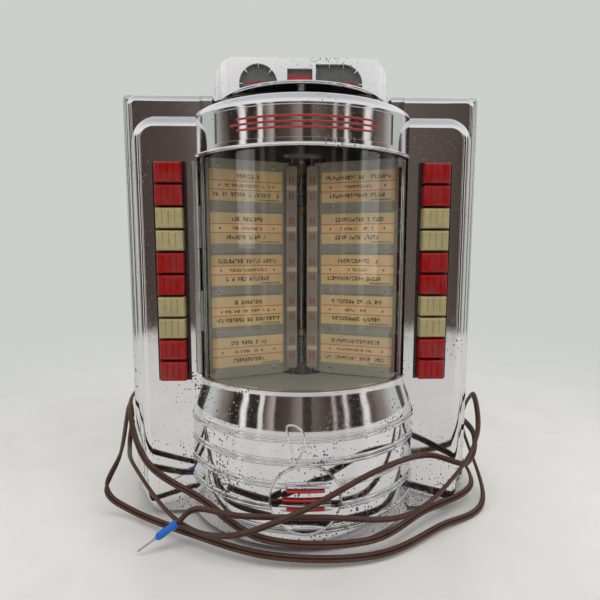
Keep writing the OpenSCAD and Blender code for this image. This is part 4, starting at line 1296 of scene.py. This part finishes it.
@dataclass
class WindowDoor:
    """The crown, window and frame that swing as one, and what they hang on.

    Args:
        shop: the workshop.
        crown_r: radius of the crown.
    """

    shop: Workshop
    crown_r: float = 98.0

    def on_crown(self, angle: float, z: float, out: float) -> Point:
        """A point that stands out from the crown at an angle in degrees from straight ahead."""
        return round_axis(self.crown_r + out, math.radians(angle), z)

    def build(self) -> None:
        """Dresses the door."""
        self.shop.skin("crown", "door", Palette.CASTING, 0.45)
        lines = Piece("crown_lines")
        for z, reach in ((317.0, 30.0), (313.2, 33.0), (309.4, 30.0)):
            lines.wire([self.on_crown(angle, z, -0.85) for angle in spread(reach, 40)], 0.75)
        self.shop.finish(lines, "door", Palette.FLAG, (), 60.0)
        self.shop.skin("window", "door", Palette.GLASS)
        for node in ("window_frame", "hinge_door_leaf"):
            self.shop.skin(node, "door", Palette.STEEL, whole=False)
        self.shop.skin("hinge_fixed_leaf", "root", Palette.STEEL, 0.15)
        for node in ("hinge_pin", "door_catch"):
            self.shop.skin(node, "root", Palette.SPRING, 0.15)


@dataclass
class Crest:
    """The crest with its three windows and what lies behind them.

    Args:
        shop: the workshop.
        front: depth of its face.
        dial_x: distance of the round windows from the middle.
        dial_z: height of the windows' centres.
        dial_r: radius of the round windows.
        tick: length of a mark, and the radii of its ends.
    """

    shop: Workshop
    front: float = -6.0
    dial_x: float = 37.3
    dial_z: float = 366.6
    dial_r: float = 16.3
    tick: tuple[float, float, float] = (3.4, 0.9, 0.25)

    def ticks(self) -> None:
        """Small pointed marks round the dial windows."""
        marks, depth = Piece("crest_ticks"), self.front + 0.7
        length, *ends = self.tick
        spots = [(-self.dial_x, a) for a in (-90, -45, 0, 45, 90)] + [(36.0, a) for a in (0, 45, 90)]
        for x, angle in spots:
            a = math.radians(angle)
            out = Vector((math.sin(a), 0.0, math.cos(a)))
            foot = Vector((x, depth, self.dial_z)) + out * self.dial_r
            marks.cone(foot + out * 0.3, foot - out * length, *ends, 8)
        for x, z in ((24.0, 1.0), (12.6, 0.72)):
            foot = Vector((x, depth, self.dial_z + z * self.dial_r))
            marks.cone(foot + Vector((0, 0, 0.3)), foot - Vector((0, 0, length)), *ends, 8)
        self.shop.finish(marks, "root", Palette.CASTING, (), 40.0)

    def build(self) -> None:
        """Dresses the crest and its dials."""
        # The crest's paler, less metallic finish is partly a painted highlight.
        self.shop.skin("crest", "root", Palette.CREST, 0.5)
        self.ticks()
        self.shop.skin("crest_dials", "root", Palette.DIAL, 0.15)
        flag = Piece("dial_flag")
        flag.block((-11.9, -4.85, 358.7), (8.7, -4.65, 374.4), 0.08)
        self.shop.finish(flag, "root", Palette.FLAG)
        scale = Piece("dial_bars")
        for x0, x1 in ((-49.0, -40.0), (-38.5, -29.0), (18.0, 26.0), (28.0, 36.0), (38.0, 46.0)):
            scale.block((x0, -3.68, 367.6), (x1, -3.45, 369.2), 0.05)
        self.shop.finish(scale, "root", Palette.FLAG)


# --- the whole


def main() -> None:
    """Builds the pieces in order."""
    logging.basicConfig(level=logging.INFO, format="%(name)s: %(message)s")
    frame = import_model()
    bpy.context.scene.view_settings.view_transform = "Standard"
    studio = Studio()
    studio.set_camera()
    shop = Workshop(frame["nodes"], Materials())
    CordSet(shop).build()
    Castings(shop).build()
    Keyboard(shop).build()
    Rotor(shop).build()
    WindowDoor(shop).build()
    Crest(shop).build()
    studio.light()
    studio.floor()


if __name__ == "__main__":
    main()
